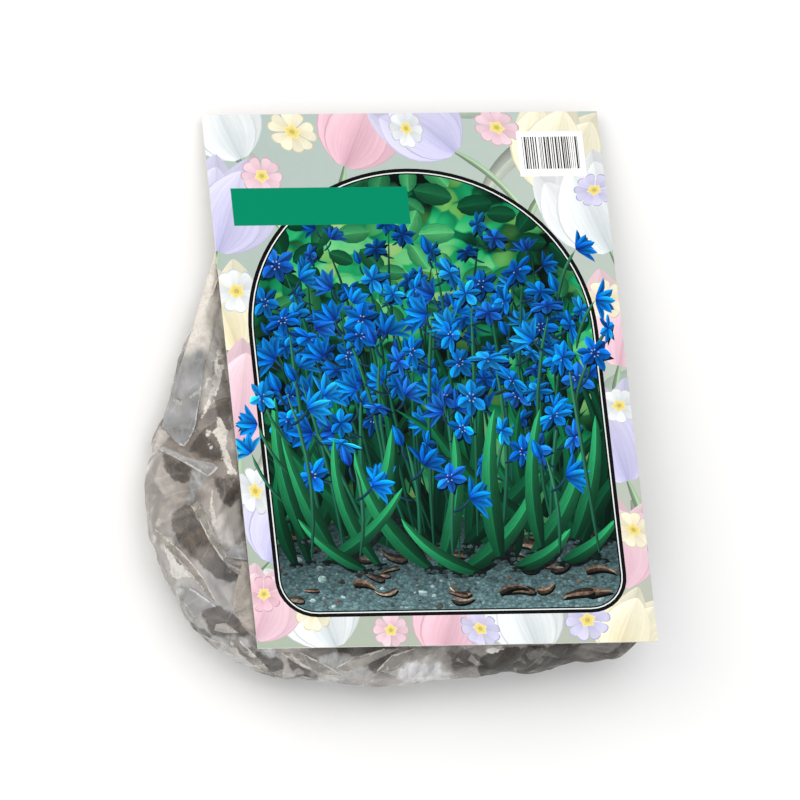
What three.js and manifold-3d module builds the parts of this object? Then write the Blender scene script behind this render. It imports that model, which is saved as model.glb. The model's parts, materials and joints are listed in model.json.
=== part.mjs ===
// Retail pack of flower bulbs: a printed card fixed over a clear film bag that holds forty small bulbs.
// The pack lies on its back. +X runs across the card, +Y towards the card's top edge, +Z up.
// All lengths are millimetres.
import * as THREE from "three";
import { mergeVertices } from "three/addons/utils/BufferGeometryUtils.js";
import Module from "manifold-3d";

const wasm = await Module();
wasm.setup();

// ---------------------------------------------------------------- driving dimensions
const CARD_W = 170; // across
const CARD_H = 240; // bottom edge to top edge
const CARD_T = 0.6; // board thickness
const CARD_Z_LOW_END = 48; // front face height at the card's bottom edge
const CARD_Z_TOP_END = 6; // front face height at the card's top edge
const FILM_T = 0.5; // wall of the bag
const CARD_GAP = 1.1; // card's back to the bag's front sheet: adhesive strip and its two clearances
const SIDE_R = 24; // rounding of the bag's sides where the two sheets meet
const SIDE_N = 2.3; // exponent of that rounding
const RING_N = 10; // rings from edge to middle on each sheet
const AROUND_N = 84; // points round the bag's edge
const DENT = 3; // how far the film sinks between the bulbs
const DENT_TOP_Y = 2; // the film is smooth above the heap of bulbs
const VENT_D = 5; // hole punched through both sheets
const VENTS = [[-99, -5]];
const STRIP_W = 110; // double-sided adhesive strip between card and bag
const STRIP_H = 12;
const STRIP_T = 0.5;
const STRIP_Y = 89;

const TILT = Math.asin((CARD_Z_LOW_END - CARD_Z_TOP_END) / CARD_H);
const CARD_Y0 = -(CARD_H * Math.cos(TILT)) / 2; // card's bottom edge

// Height of the card's front face over the table, and of the bag's front sheet under it.
const cardZ = (y) => CARD_Z_LOW_END - (y - CARD_Y0) * Math.tan(TILT);
const frontZ = (y) => cardZ(y) - (CARD_T + CARD_GAP) / Math.cos(TILT);

// Plan of the bag's edge, anticlockwise seen from the front.
const EDGE = [
  [-70, -127], [-20, -127.5], [25, -125.5], [60, -121], [80, -109], [86, -86],
  [85, -48], [80, -8], [73, 34], [66, 76], [60, 99], [50, 106],
  [0, 107], [-52, 106], [-64, 99], [-74, 82], [-83, 60], [-92, 37],
  [-99, 19], [-106, 2], [-113, -15], [-118.5, -36], [-120, -60], [-114.5, -89], [-98, -114],
];
const CENTRE = [-16, -22];

// ---------------------------------------------------------------- helpers
const toSolid = (geometry) => {
  const g = geometry.clone();
  g.deleteAttribute("normal");
  g.deleteAttribute("uv");
  const m = mergeVertices(g, 1e-4);
  return new wasm.Manifold(new wasm.Mesh({ numProp: 3, vertProperties: m.attributes.position.array, triVerts: new Uint32Array(m.index.array) }));
};
const toGeometry = (solid) => {
  const m = solid.getMesh();
  const v = new Float32Array(m.numVert * 3);
  for (let i = 0; i < m.numVert; i++) v.set(m.vertProperties.subarray(i * m.numProp, i * m.numProp + 3), i * 3);
  const g = new THREE.BufferGeometry();
  g.setAttribute("position", new THREE.BufferAttribute(v, 3));
  g.setIndex(new THREE.BufferAttribute(m.triVerts, 1));
  g.computeVertexNormals();
  return g;
};

// Bulbs: position of the centre (x, y, z), attitude (quaternion x, y, z, w), greatest radius,
// length from basal plate to tip, ratio that squashes the round section, and how far and in which
// direction the neck leans.
const BULBS = [
  [-91.50, -91.02, 13.87, 0.0894, -0.8031, -0.4178, 0.4154, 12.53, 29.1, 0.989, 0.6, 5.98],
  [-80.63, -106.59, 29.72, -0.3501, 0.7574, 0.0797, -0.5453, 11.85, 27.8, 1.009, 0.4, 0.39],
  [-65.90, -103.37, 12.16, -0.9196, -0.0387, 0.3897, 0.0311, 11.50, 25.0, 1.008, 0.1, 0.22],
  [-55.65, -113.74, 29.76, -0.7323, -0.6216, 0.2243, -0.1644, 12.24, 28.5, 0.995, 1.9, 2.59],
  [-41.86, -107.91, 13.64, 0.6432, 0.0388, -0.3004, 0.7033, 11.62, 25.8, 0.983, 1.0, 3.17],
  [-27.66, -113.17, 29.80, -0.2413, -0.3133, -0.6002, 0.6953, 11.22, 26.3, 1.021, 1.1, 4.56],
  [-18.98, -100.93, 12.67, 0.7663, -0.0550, 0.1467, 0.6231, 12.08, 29.5, 1.019, 0.5, 1.89],
  [-5.05, -107.91, 31.13, 0.2538, -0.5892, 0.7661, -0.0403, 11.82, 29.2, 1.001, 1.1, 5.63],
  [8.24, -103.69, 12.99, -0.6171, -0.1780, 0.0240, -0.7662, 11.92, 27.3, 1.029, 1.4, 3.23],
  [21.23, -110.77, 29.08, -0.9271, 0.0549, 0.0182, 0.3703, 12.49, 26.8, 0.995, 1.1, 5.97],
  [35.02, -99.16, 13.04, -0.2215, -0.8416, 0.1572, 0.4669, 12.42, 26.4, 1.022, 1.8, 2.94],
  [48.44, -108.21, 30.34, -0.6699, 0.5509, -0.3986, -0.2981, 11.52, 25.2, 0.990, 0.4, 2.17],
  [59.79, -99.34, 13.03, 0.7869, 0.3783, -0.3764, -0.3098, 11.97, 29.7, 1.020, 1.4, 6.21],
  [-100.16, -74.29, 25.59, 0.2584, -0.4839, 0.8145, 0.1889, 11.25, 27.4, 0.998, 1.2, 2.02],
  [-75.13, -76.71, 25.43, 0.4361, 0.2751, -0.3449, 0.7843, 12.56, 28.1, 0.993, 0.4, 0.32],
  [-57.16, -81.62, 11.96, 0.1893, 0.7801, 0.1412, -0.5794, 11.48, 25.9, 0.965, 1.8, 0.97],
  [-41.63, -87.83, 28.22, -0.3187, -0.3484, -0.5769, 0.6665, 11.55, 27.8, 1.012, 1.6, 3.95],
  [-30.50, -74.38, 13.72, -0.3421, 0.4086, 0.6088, 0.5876, 11.41, 27.5, 0.992, 2.2, 3.71],
  [-13.98, -81.36, 26.79, 0.1191, 0.5376, -0.4668, -0.6920, 11.87, 27.7, 1.011, 0.7, 6.04],
  [5.19, -78.40, 12.16, 0.6715, -0.3773, -0.5556, -0.3131, 11.71, 27.3, 0.969, 0.9, 2.03],
  [22.37, -88.10, 28.28, -0.5241, -0.2637, -0.4631, -0.6643, 11.78, 28.2, 1.022, 1.6, 0.71],
  [35.51, -75.33, 12.53, -0.3044, -0.7705, -0.1216, -0.5467, 11.90, 26.3, 0.966, 0.4, 4.35],
  [49.56, -83.59, 26.21, -0.8550, 0.1474, -0.0394, 0.4957, 11.27, 24.0, 0.966, 0.6, 1.56],
  [71.32, -81.53, 22.97, -0.8721, 0.3024, 0.3436, 0.1732, 11.50, 28.2, 1.024, 0.2, 3.79],
  [-103.25, -52.83, 14.23, 0.4778, 0.2862, -0.4542, -0.6953, 11.57, 28.2, 1.001, 1.9, 4.02],
  [-84.39, -41.28, 20.47, -0.3284, -0.4172, 0.0885, 0.8428, 11.46, 26.6, 0.968, 1.3, 1.04],
  [-66.09, -55.11, 14.26, -0.3556, -0.1860, -0.8113, 0.4251, 12.14, 27.1, 1.026, 1.5, 0.83],
  [-47.95, -63.91, 24.11, -0.2351, 0.3799, 0.4125, -0.7939, 12.15, 25.8, 0.987, 2.1, 3.38],
  [-42.44, -44.19, 12.70, -0.7648, 0.3046, -0.2356, -0.5165, 11.47, 28.1, 1.004, 0.4, 5.55],
  [-18.87, -50.37, 13.77, -0.0259, 0.6469, 0.4881, 0.5854, 12.38, 30.5, 1.028, 1.3, 0.91],
  [4.81, -56.33, 21.70, 0.2061, -0.5382, 0.3712, -0.7281, 12.48, 30.1, 1.026, 1.2, 5.75],
  [26.65, -48.89, 12.54, 0.7786, 0.3974, 0.4803, 0.0715, 12.10, 28.1, 0.991, 0.9, 1.50],
  [49.63, -57.44, 13.10, 0.2169, 0.7730, -0.4498, 0.3913, 12.05, 28.3, 1.012, 0.3, 2.77],
  [71.75, -59.42, 16.92, 0.3900, -0.0215, -0.8144, -0.4292, 12.24, 26.3, 1.003, 1.1, 5.47],
  [-102.56, -31.01, 14.08, -0.1357, -0.9128, 0.3127, -0.2248, 11.54, 26.1, 0.972, 2.1, 1.35],
  [-82.50, -18.00, 13.11, 0.4174, 0.6463, -0.4136, 0.4869, 12.25, 29.6, 0.975, 0.9, 5.12],
  [-62.83, -32.95, 12.65, 0.7679, 0.4338, -0.1657, 0.4412, 12.25, 26.1, 0.991, 0.1, 0.77],
  [-26.08, -27.33, 12.46, 0.0439, -0.8485, -0.2930, 0.4384, 11.68, 27.2, 1.013, 0.8, 3.26],
  [6.15, -34.07, 13.16, -0.7831, -0.3535, 0.2556, -0.4432, 12.55, 29.6, 0.995, 1.2, 5.48],
  [45.53, -32.69, 13.79, -0.6140, 0.1906, -0.7541, 0.1345, 12.27, 30.0, 0.976, 2.1, 0.03],
];
// Outline of a bulb from basal plate to dry tip: share of the greatest radius, share of the length.
const BULB_PROFILE = [
  [0.26, 0], [0.36, 0.035], [0.66, 0.085], [0.92, 0.22], [1, 0.4], [0.92, 0.57], [0.7, 0.72], [0.42, 0.84], [0.2, 0.93], [0.09, 1],
];
const BULB_SIDES = 10;
const BULB_MIDDLE = 0.45; // share of the length at which the bulb's centre lies

// How far the film sinks at a point: nothing where it lies on a bulb, most in the gaps between bulbs.
function dent(x, y, z) {
  let near = 0;
  for (const b of BULBS) {
    const off = Math.max(0, Math.hypot(x - b[0], y - b[1], z - b[2]) - b[8] * 0.53);
    near = Math.max(near, Math.exp(-(off * off) / 40));
  }
  return DENT * (1 - near) * THREE.MathUtils.smoothstep(DENT_TOP_Y - y, 0, 18);
}

// A closed pillow: two sheets over the plan of the edge, joined round it. inset moves every wall inwards.
function pillow(inset) {
  const curve = new THREE.CatmullRomCurve3(EDGE.map(([x, y]) => new THREE.Vector3(x, y, 0)), true, "centripetal");
  const edge = curve.getSpacedPoints(AROUND_N).slice(0, AROUND_N);
  const positions = [], index = [];
  // Distance of a ring from the edge: rings are close together on the rounding, then wider to the middle.
  const ringAt = (k, far) => {
    const t = k / RING_N, rounding = Math.min(SIDE_R, far * 0.45);
    return t < 0.65 ? rounding * (1 - Math.cos(((t / 0.65) * Math.PI) / 2)) : rounding + (far - rounding) * ((t - 0.65) / 0.35);
  };
  const rows = { 1: [], [-1]: [] };
  for (const side of [1, -1]) {
    for (let k = 0; k <= RING_N; k++) {
      const row = [];
      for (let i = 0; i < AROUND_N; i++) {
        if (k === 0 && side < 0) { row.push(rows[1][0][i]); continue; }
        if (k === RING_N && i > 0) continue;
        const p = edge[i], far = Math.hypot(p.x - CENTRE[0], p.y - CENTRE[1]);
        const d = k === RING_N ? far : ringAt(k, far);
        const ux = (p.x - CENTRE[0]) / far, uy = (p.y - CENTRE[1]) / far;
        const y = CENTRE[1] + uy * (far - d);
        const full = Math.max(frontZ(y), 1.2), mid = full / 2;
        const r = Math.min(SIDE_R, Math.max(full * 0.9, 4));
        const rise = d >= r ? 1 : Math.pow(1 - Math.pow(1 - d / r, SIDE_N), 1 / SIDE_N);
        // Position on the outer face, then the way in: level at the edge, straight up or down on the sheets.
        const x = CENTRE[0] + ux * (far - d), z = mid + side * mid * rise;
        const flatUnder = side < 0 && rise > 0.97;
        const sink = flatUnder ? 0 : dent(x, y, z);
        const inwards = (1 - rise) * sink + inset * (1 - d / far);
        const zIn = mid + side * Math.max(mid * rise - rise * sink - inset, 0);
        row.push(positions.push(x - ux * inwards, y - uy * inwards, zIn) / 3 - 1);
      }
      rows[side].push(row);
    }
  }
  for (const side of [1, -1]) {
    const R = rows[side];
    const tri = (a, b, c) => (side > 0 ? index.push(a, b, c) : index.push(a, c, b));
    for (let k = 0; k < RING_N; k++)
      for (let i = 0; i < AROUND_N; i++) {
        const j = (i + 1) % AROUND_N;
        if (k === RING_N - 1) { tri(R[k][i], R[k][j], R[RING_N][0]); continue; }
        tri(R[k][i], R[k][j], R[k + 1][j]);
        tri(R[k][i], R[k + 1][j], R[k + 1][i]);
      }
  }
  const g = new THREE.BufferGeometry();
  g.setAttribute("position", new THREE.BufferAttribute(new Float32Array(positions), 3));
  g.setIndex(index);
  return g;
}

function bulb([, , , , , , , radius, length, squash, lean, leanTo]) {
  const outline = [[0, 0], ...BULB_PROFILE, [0, 1]].map(([r, h]) => new THREE.Vector2(r * radius, (h - BULB_MIDDLE) * length));
  const g = new THREE.LatheGeometry(outline, BULB_SIDES).rotateX(Math.PI / 2);
  const p = g.attributes.position;
  for (let i = 0; i < p.count; i++) {
    const h = p.getZ(i) / length + BULB_MIDDLE;
    const off = lean * Math.max(0, (h - 0.5) / 0.5) ** 2;
    p.setXY(i, p.getX(i) * squash + off * Math.cos(leanTo), p.getY(i) / squash + off * Math.sin(leanTo));
  }
  g.deleteAttribute("uv");
  g.deleteAttribute("normal");
  const out = mergeVertices(g, 1e-3);
  out.computeVertexNormals();
  return out;
}

// ---------------------------------------------------------------- parts
const group = new THREE.Group();
const pieces = [];
const add = (name, geometry, color, roughness) => {
  const mesh = new THREE.Mesh(geometry, new THREE.MeshStandardMaterial({ color, roughness, metalness: 0 }));
  mesh.name = name;
  pieces.push(mesh);
  group.add(mesh);
  return mesh;
};
// Turns a piece into the card's plane and puts its middle at the distance back behind the card's front face.
const inCardPlane = (mesh, y, back) => {
  mesh.rotation.x = -TILT;
  mesh.position.set(0, y - Math.sin(TILT) * back, cardZ(y) - Math.cos(TILT) * back);
};

const card = add("card", new THREE.BoxGeometry(CARD_W, CARD_H, CARD_T), 0xe8ece8, 0.45);
inCardPlane(card, 0, CARD_T / 2);

const strip = add("adhesive_strip", new THREE.BoxGeometry(STRIP_W, STRIP_H, STRIP_T), 0xf0eee6, 0.7);
inCardPlane(strip, STRIP_Y, CARD_T + CARD_GAP / 2);

let film = toSolid(pillow(0)).subtract(toSolid(pillow(FILM_T)));
for (const [x, y] of VENTS) {
  const punch = new THREE.CylinderGeometry(VENT_D / 2, VENT_D / 2, 80, 16).rotateX(Math.PI / 2).translate(x, y, 0);
  film = film.subtract(toSolid(punch));
}
add("film_bag", toGeometry(film), 0xb8b2a8, 0.25);

BULBS.forEach((b, i) => {
  const mesh = add(`bulb_${String(i + 1).padStart(2, "0")}`, bulb(b), 0x5a4038, 0.6);
  mesh.position.set(b[0], b[1], b[2]);
  mesh.quaternion.set(b[3], b[4], b[5], b[6]).normalize();
});

// The pack stands over the origin: its box is centred in x and y and starts at z = 0.
group.updateMatrixWorld(true);
const box = new THREE.Box3().setFromObject(group, true);
for (const mesh of pieces) {
  mesh.position.x -= (box.min.x + box.max.x) / 2;
  mesh.position.y -= (box.min.y + box.max.y) / 2;
  mesh.position.z -= box.min.z;
}
export default group;
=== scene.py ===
# Looks for the bulb pack: printed card, crinkled film bag, adhesive strip and forty bulbs.
# Lengths in the helper code are millimetres in the pack's own frame; SHIFT moves them to the row's frame.
import json
import math
import time

import bpy
import numpy as np
from mathutils import Matrix, Vector
from mathutils.bvhtree import BVHTree
from mathutils.geometry import delaunay_2d_cdt

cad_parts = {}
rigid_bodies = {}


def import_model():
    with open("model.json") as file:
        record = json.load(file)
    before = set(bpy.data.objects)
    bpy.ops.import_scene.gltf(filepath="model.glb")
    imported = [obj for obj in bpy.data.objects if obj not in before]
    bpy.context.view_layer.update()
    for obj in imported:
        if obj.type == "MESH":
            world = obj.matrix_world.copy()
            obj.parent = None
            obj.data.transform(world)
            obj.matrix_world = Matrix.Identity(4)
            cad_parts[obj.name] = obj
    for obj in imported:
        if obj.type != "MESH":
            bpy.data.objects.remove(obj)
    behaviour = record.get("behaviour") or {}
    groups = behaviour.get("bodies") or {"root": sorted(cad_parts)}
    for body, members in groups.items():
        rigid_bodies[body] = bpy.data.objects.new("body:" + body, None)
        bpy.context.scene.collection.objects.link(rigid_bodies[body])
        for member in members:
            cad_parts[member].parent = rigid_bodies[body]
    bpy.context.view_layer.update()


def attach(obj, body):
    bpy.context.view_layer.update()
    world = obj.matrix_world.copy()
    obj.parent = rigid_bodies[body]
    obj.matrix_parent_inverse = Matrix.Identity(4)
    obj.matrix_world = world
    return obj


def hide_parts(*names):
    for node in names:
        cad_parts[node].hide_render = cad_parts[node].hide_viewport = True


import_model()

T_START = time.time()
MM = 0.001
SHIFT = np.array([16.7447, 5.1853, 0.0])

# ------------------------------------------------------------------ dimensions, as in the CAD model
CARD_W, CARD_H, CARD_T = 170.0, 240.0, 0.6
Z_LOW, Z_TOP = 48.0, 6.0
TILT = math.asin((Z_LOW - Z_TOP) / CARD_H)
CARD_Y0 = -CARD_H * math.cos(TILT) / 2
# x, y, z, qx, qy, qz, qw, radius, length, squash, lean, direction of the lean
BULBS = [
    [-91.50, -91.02, 13.87, 0.0894, -0.8031, -0.4178, 0.4154, 12.53, 29.1, 0.989, 0.6, 5.98],
    [-80.63, -106.59, 29.72, -0.3501, 0.7574, 0.0797, -0.5453, 11.85, 27.8, 1.009, 0.4, 0.39],
    [-65.90, -103.37, 12.16, -0.9196, -0.0387, 0.3897, 0.0311, 11.50, 25.0, 1.008, 0.1, 0.22],
    [-55.65, -113.74, 29.76, -0.7323, -0.6216, 0.2243, -0.1644, 12.24, 28.5, 0.995, 1.9, 2.59],
    [-41.86, -107.91, 13.64, 0.6432, 0.0388, -0.3004, 0.7033, 11.62, 25.8, 0.983, 1.0, 3.17],
    [-27.66, -113.17, 29.80, -0.2413, -0.3133, -0.6002, 0.6953, 11.22, 26.3, 1.021, 1.1, 4.56],
    [-18.98, -100.93, 12.67, 0.7663, -0.0550, 0.1467, 0.6231, 12.08, 29.5, 1.019, 0.5, 1.89],
    [-5.05, -107.91, 31.13, 0.2538, -0.5892, 0.7661, -0.0403, 11.82, 29.2, 1.001, 1.1, 5.63],
    [8.24, -103.69, 12.99, -0.6171, -0.1780, 0.0240, -0.7662, 11.92, 27.3, 1.029, 1.4, 3.23],
    [21.23, -110.77, 29.08, -0.9271, 0.0549, 0.0182, 0.3703, 12.49, 26.8, 0.995, 1.1, 5.97],
    [35.02, -99.16, 13.04, -0.2215, -0.8416, 0.1572, 0.4669, 12.42, 26.4, 1.022, 1.8, 2.94],
    [48.44, -108.21, 30.34, -0.6699, 0.5509, -0.3986, -0.2981, 11.52, 25.2, 0.990, 0.4, 2.17],
    [59.79, -99.34, 13.03, 0.7869, 0.3783, -0.3764, -0.3098, 11.97, 29.7, 1.020, 1.4, 6.21],
    [-100.16, -74.29, 25.59, 0.2584, -0.4839, 0.8145, 0.1889, 11.25, 27.4, 0.998, 1.2, 2.02],
    [-75.13, -76.71, 25.43, 0.4361, 0.2751, -0.3449, 0.7843, 12.56, 28.1, 0.993, 0.4, 0.32],
    [-57.16, -81.62, 11.96, 0.1893, 0.7801, 0.1412, -0.5794, 11.48, 25.9, 0.965, 1.8, 0.97],
    [-41.63, -87.83, 28.22, -0.3187, -0.3484, -0.5769, 0.6665, 11.55, 27.8, 1.012, 1.6, 3.95],
    [-30.50, -74.38, 13.72, -0.3421, 0.4086, 0.6088, 0.5876, 11.41, 27.5, 0.992, 2.2, 3.71],
    [-13.98, -81.36, 26.79, 0.1191, 0.5376, -0.4668, -0.6920, 11.87, 27.7, 1.011, 0.7, 6.04],
    [5.19, -78.40, 12.16, 0.6715, -0.3773, -0.5556, -0.3131, 11.71, 27.3, 0.969, 0.9, 2.03],
    [22.37, -88.10, 28.28, -0.5241, -0.2637, -0.4631, -0.6643, 11.78, 28.2, 1.022, 1.6, 0.71],
    [35.51, -75.33, 12.53, -0.3044, -0.7705, -0.1216, -0.5467, 11.90, 26.3, 0.966, 0.4, 4.35],
    [49.56, -83.59, 26.21, -0.8550, 0.1474, -0.0394, 0.4957, 11.27, 24.0, 0.966, 0.6, 1.56],
    [71.32, -81.53, 22.97, -0.8721, 0.3024, 0.3436, 0.1732, 11.50, 28.2, 1.024, 0.2, 3.79],
    [-103.25, -52.83, 14.23, 0.4778, 0.2862, -0.4542, -0.6953, 11.57, 28.2, 1.001, 1.9, 4.02],
    [-84.39, -41.28, 20.47, -0.3284, -0.4172, 0.0885, 0.8428, 11.46, 26.6, 0.968, 1.3, 1.04],
    [-66.09, -55.11, 14.26, -0.3556, -0.1860, -0.8113, 0.4251, 12.14, 27.1, 1.026, 1.5, 0.83],
    [-47.95, -63.91, 24.11, -0.2351, 0.3799, 0.4125, -0.7939, 12.15, 25.8, 0.987, 2.1, 3.38],
    [-42.44, -44.19, 12.70, -0.7648, 0.3046, -0.2356, -0.5165, 11.47, 28.1, 1.004, 0.4, 5.55],
    [-18.87, -50.37, 13.77, -0.0259, 0.6469, 0.4881, 0.5854, 12.38, 30.5, 1.028, 1.3, 0.91],
    [4.81, -56.33, 21.70, 0.2061, -0.5382, 0.3712, -0.7281, 12.48, 30.1, 1.026, 1.2, 5.75],
    [26.65, -48.89, 12.54, 0.7786, 0.3974, 0.4803, 0.0715, 12.10, 28.1, 0.991, 0.9, 1.50],
    [49.63, -57.44, 13.10, 0.2169, 0.7730, -0.4498, 0.3913, 12.05, 28.3, 1.012, 0.3, 2.77],
    [71.75, -59.42, 16.92, 0.3900, -0.0215, -0.8144, -0.4292, 12.24, 26.3, 1.003, 1.1, 5.47],
    [-102.56, -31.01, 14.08, -0.1357, -0.9128, 0.3127, -0.2248, 11.54, 26.1, 0.972, 2.1, 1.35],
    [-82.50, -18.00, 13.11, 0.4174, 0.6463, -0.4136, 0.4869, 12.25, 29.6, 0.975, 0.9, 5.12],
    [-62.83, -32.95, 12.65, 0.7679, 0.4338, -0.1657, 0.4412, 12.25, 26.1, 0.991, 0.1, 0.77],
    [-26.08, -27.33, 12.46, 0.0439, -0.8485, -0.2930, 0.4384, 11.68, 27.2, 1.013, 0.8, 3.26],
    [6.15, -34.07, 13.16, -0.7831, -0.3535, 0.2556, -0.4432, 12.55, 29.6, 0.995, 1.2, 5.48],
    [45.53, -32.69, 13.79, -0.6140, 0.1906, -0.7541, 0.1345, 12.27, 30.0, 0.976, 2.1, 0.03],
]


CARD_AXES = np.array([[1, 0, 0], [0, math.cos(TILT), -math.sin(TILT)], [0, math.sin(TILT), math.cos(TILT)]])
CARD_MID = np.array([0, 0, (Z_LOW + Z_TOP) / 2])


def card_z(y):
    return Z_LOW - (y - CARD_Y0) * math.tan(TILT)


def front_z(y):
    return card_z(y) - 1.7 / math.cos(TILT)


def world(p):
    """Pack millimetres to row metres."""
    return (np.asarray(p, float) + SHIFT) * MM


def card_to_pack(p):
    """Card millimetres (across, up, out of the face) to pack millimetres."""
    return np.asarray(p, float) @ CARD_AXES + CARD_MID


scene = bpy.context.scene
coll = scene.collection


def add_mesh(name, verts, faces, mats, smooth=True, face_mats=None):
    me = bpy.data.meshes.new(name)
    me.from_pydata([tuple(v) for v in verts], [], [tuple(f) for f in faces])
    me.update()
    for m in mats:
        me.materials.append(m)
    me.polygons.foreach_set("use_smooth", [smooth] * len(me.polygons))
    if face_mats is not None:
        me.polygons.foreach_set("material_index", face_mats)
    ob = bpy.data.objects.new(name, me)
    coll.objects.link(ob)
    return ob


# ------------------------------------------------------------------ camera
CAM_POS = Vector((-1.5215559, -1.4137223, 6.3414696))
CAM_AXES = Matrix((((0.973218759, 0.013632485, -0.229476364), (-0.063656780, 0.975185930, -0.212038241), (0.220891513, 0.220967321, 0.949937041))))
cam_data = bpy.data.cameras.new("camera")
cam_data.sensor_width = 36.0
cam_data.lens = 720.0
cam_data.clip_start = 0.5
cam_data.clip_end = 60.0
cam = bpy.data.objects.new("camera", cam_data)
coll.objects.link(cam)
cam.matrix_world = Matrix.Translation(CAM_POS) @ CAM_AXES.to_4x4()
scene.camera = cam


def ray_through(px, py):
    """World ray (metres) through a point of the 800 x 800 frame."""
    d = CAM_AXES @ Vector(((px - 400) / 16000.0, (400 - py) / 16000.0, -1.0))
    return CAM_POS.copy(), d.normalized()


# ------------------------------------------------------------------ material helpers
class Nodes:
    def __init__(self, name):
        self.mat = bpy.data.materials.new(name)
        self.mat.use_nodes = True
        self.t = self.mat.node_tree
        self.t.nodes.clear()
        self.out = self.t.nodes.new("ShaderNodeOutputMaterial")

    def n(self, kind, **kw):
        node = self.t.nodes.new("ShaderNode" + kind)
        ins = kw.pop("ins", {})
        for k, v in kw.items():
            setattr(node, k, v)
        for k, v in ins.items():
            self.put(node.inputs[k], v)
        return node

    def put(self, sock, v):
        if isinstance(v, bpy.types.NodeSocket):
            self.t.links.new(v, sock)
        elif isinstance(v, bpy.types.Node):
            self.t.links.new(v.outputs[0], sock)
        elif isinstance(v, (tuple, list)) and len(v) == 3 and sock.type == "RGBA":
            sock.default_value = (*v, 1.0)
        else:
            sock.default_value = v

    def ramp(self, fac, stops, interp="LINEAR"):
        r = self.n("ValToRGB")
        r.color_ramp.interpolation = interp
        el = r.color_ramp.elements
        while len(el) < len(stops):
            el.new(0.5)
        for e, (p, c) in zip(el, stops):
            e.position = p
            e.color = (*c, 1.0) if len(c) == 3 else c
        self.put(r.inputs[0], fac)
        return r.outputs[0]

    def math(self, op, a, b=0.0, c=None, clamp=False):
        m = self.n("Math", operation=op, use_clamp=clamp)
        self.put(m.inputs[0], a)
        self.put(m.inputs[1], b)
        if c is not None:
            self.put(m.inputs[2], c)
        return m.outputs[0]

    def mix(self, fac, a, b, blend="MIX"):
        m = self.n("Mix", data_type="RGBA", blend_type=blend)
        self.put(m.inputs[0], fac)
        self.put(m.inputs[6], a)
        self.put(m.inputs[7], b)
        return m.outputs[2]

    def noise(self, vec, scale, detail=3.0, rough=0.55, distortion=0.0, dims="3D"):
        m = self.n("TexNoise", noise_dimensions=dims)
        self.put(m.inputs["Vector"], vec)
        m.inputs["Scale"].default_value = scale
        m.inputs["Detail"].default_value = detail
        m.inputs["Roughness"].default_value = rough
        m.inputs["Distortion"].default_value = distortion
        return m

    def voronoi(self, vec, scale, feature="F1", rand=1.0):
        m = self.n("TexVoronoi", feature=feature)
        self.put(m.inputs["Vector"], vec)
        m.inputs["Scale"].default_value = scale
        m.inputs["Randomness"].default_value = rand
        return m

    def mapping(self, vec, scale=(1, 1, 1), rot=(0, 0, 0), loc=(0, 0, 0)):
        m = self.n("Mapping")
        self.put(m.inputs[0], vec)
        m.inputs["Location"].default_value = loc
        m.inputs["Rotation"].default_value = rot
        m.inputs["Scale"].default_value = scale
        return m.outputs[0]

    def bump(self, height, strength, distance, normal=None):
        m = self.n("Bump")
        m.inputs["Strength"].default_value = strength
        m.inputs["Distance"].default_value = distance
        self.put(m.inputs["Height"], height)
        if normal is not None:
            self.put(m.inputs["Normal"], normal)
        return m.outputs[0]

    def done(self, shader):
        self.put(self.out.inputs["Surface"], shader)
        return self.mat


def srgb(*c):
    """sRGB 0-255 to linear."""
    return tuple((v / 255 / 12.92) if v / 255 <= 0.04045 else ((v / 255 + 0.055) / 1.055) ** 2.4 for v in c)


# ------------------------------------------------------------------ film bag: simulation
EDGE = np.array([[-66, -126], [-20, -127.5], [25, -125.5], [60, -121.5], [81, -113.5], [90, -98], [90, -74],
                 [87, -44], [80, -8], [73, 34], [66, 76], [60, 99], [50, 106],
                 [0, 107], [-52, 106], [-64, 99], [-74, 82], [-83, 60], [-90, 38],
                 [-97.5, 20], [-106, 2], [-113, -15], [-118.5, -36], [-120, -60], [-114, -88], [-95, -111.5]], float)
CENTRE = np.array([-16.0, -22.0])
AROUND, ROUND_RINGS, FLAT_RINGS, FAR_RINGS = 360, 15, 9, 7


def spline(P, n):
    out = []
    m = len(P)
    for i in range(m):
        p0, p1, p2, p3 = P[(i - 1) % m], P[i], P[(i + 1) % m], P[(i + 2) % m]
        t = np.linspace(0, 1, n, endpoint=False)[:, None]
        out.append(0.5 * ((2 * p1) + (-p0 + p2) * t + (2 * p0 - 5 * p1 + 4 * p2 - p3) * t**2 + (-p0 + 3 * p1 - 3 * p2 + p3) * t**3))
    return np.concatenate(out)


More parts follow.
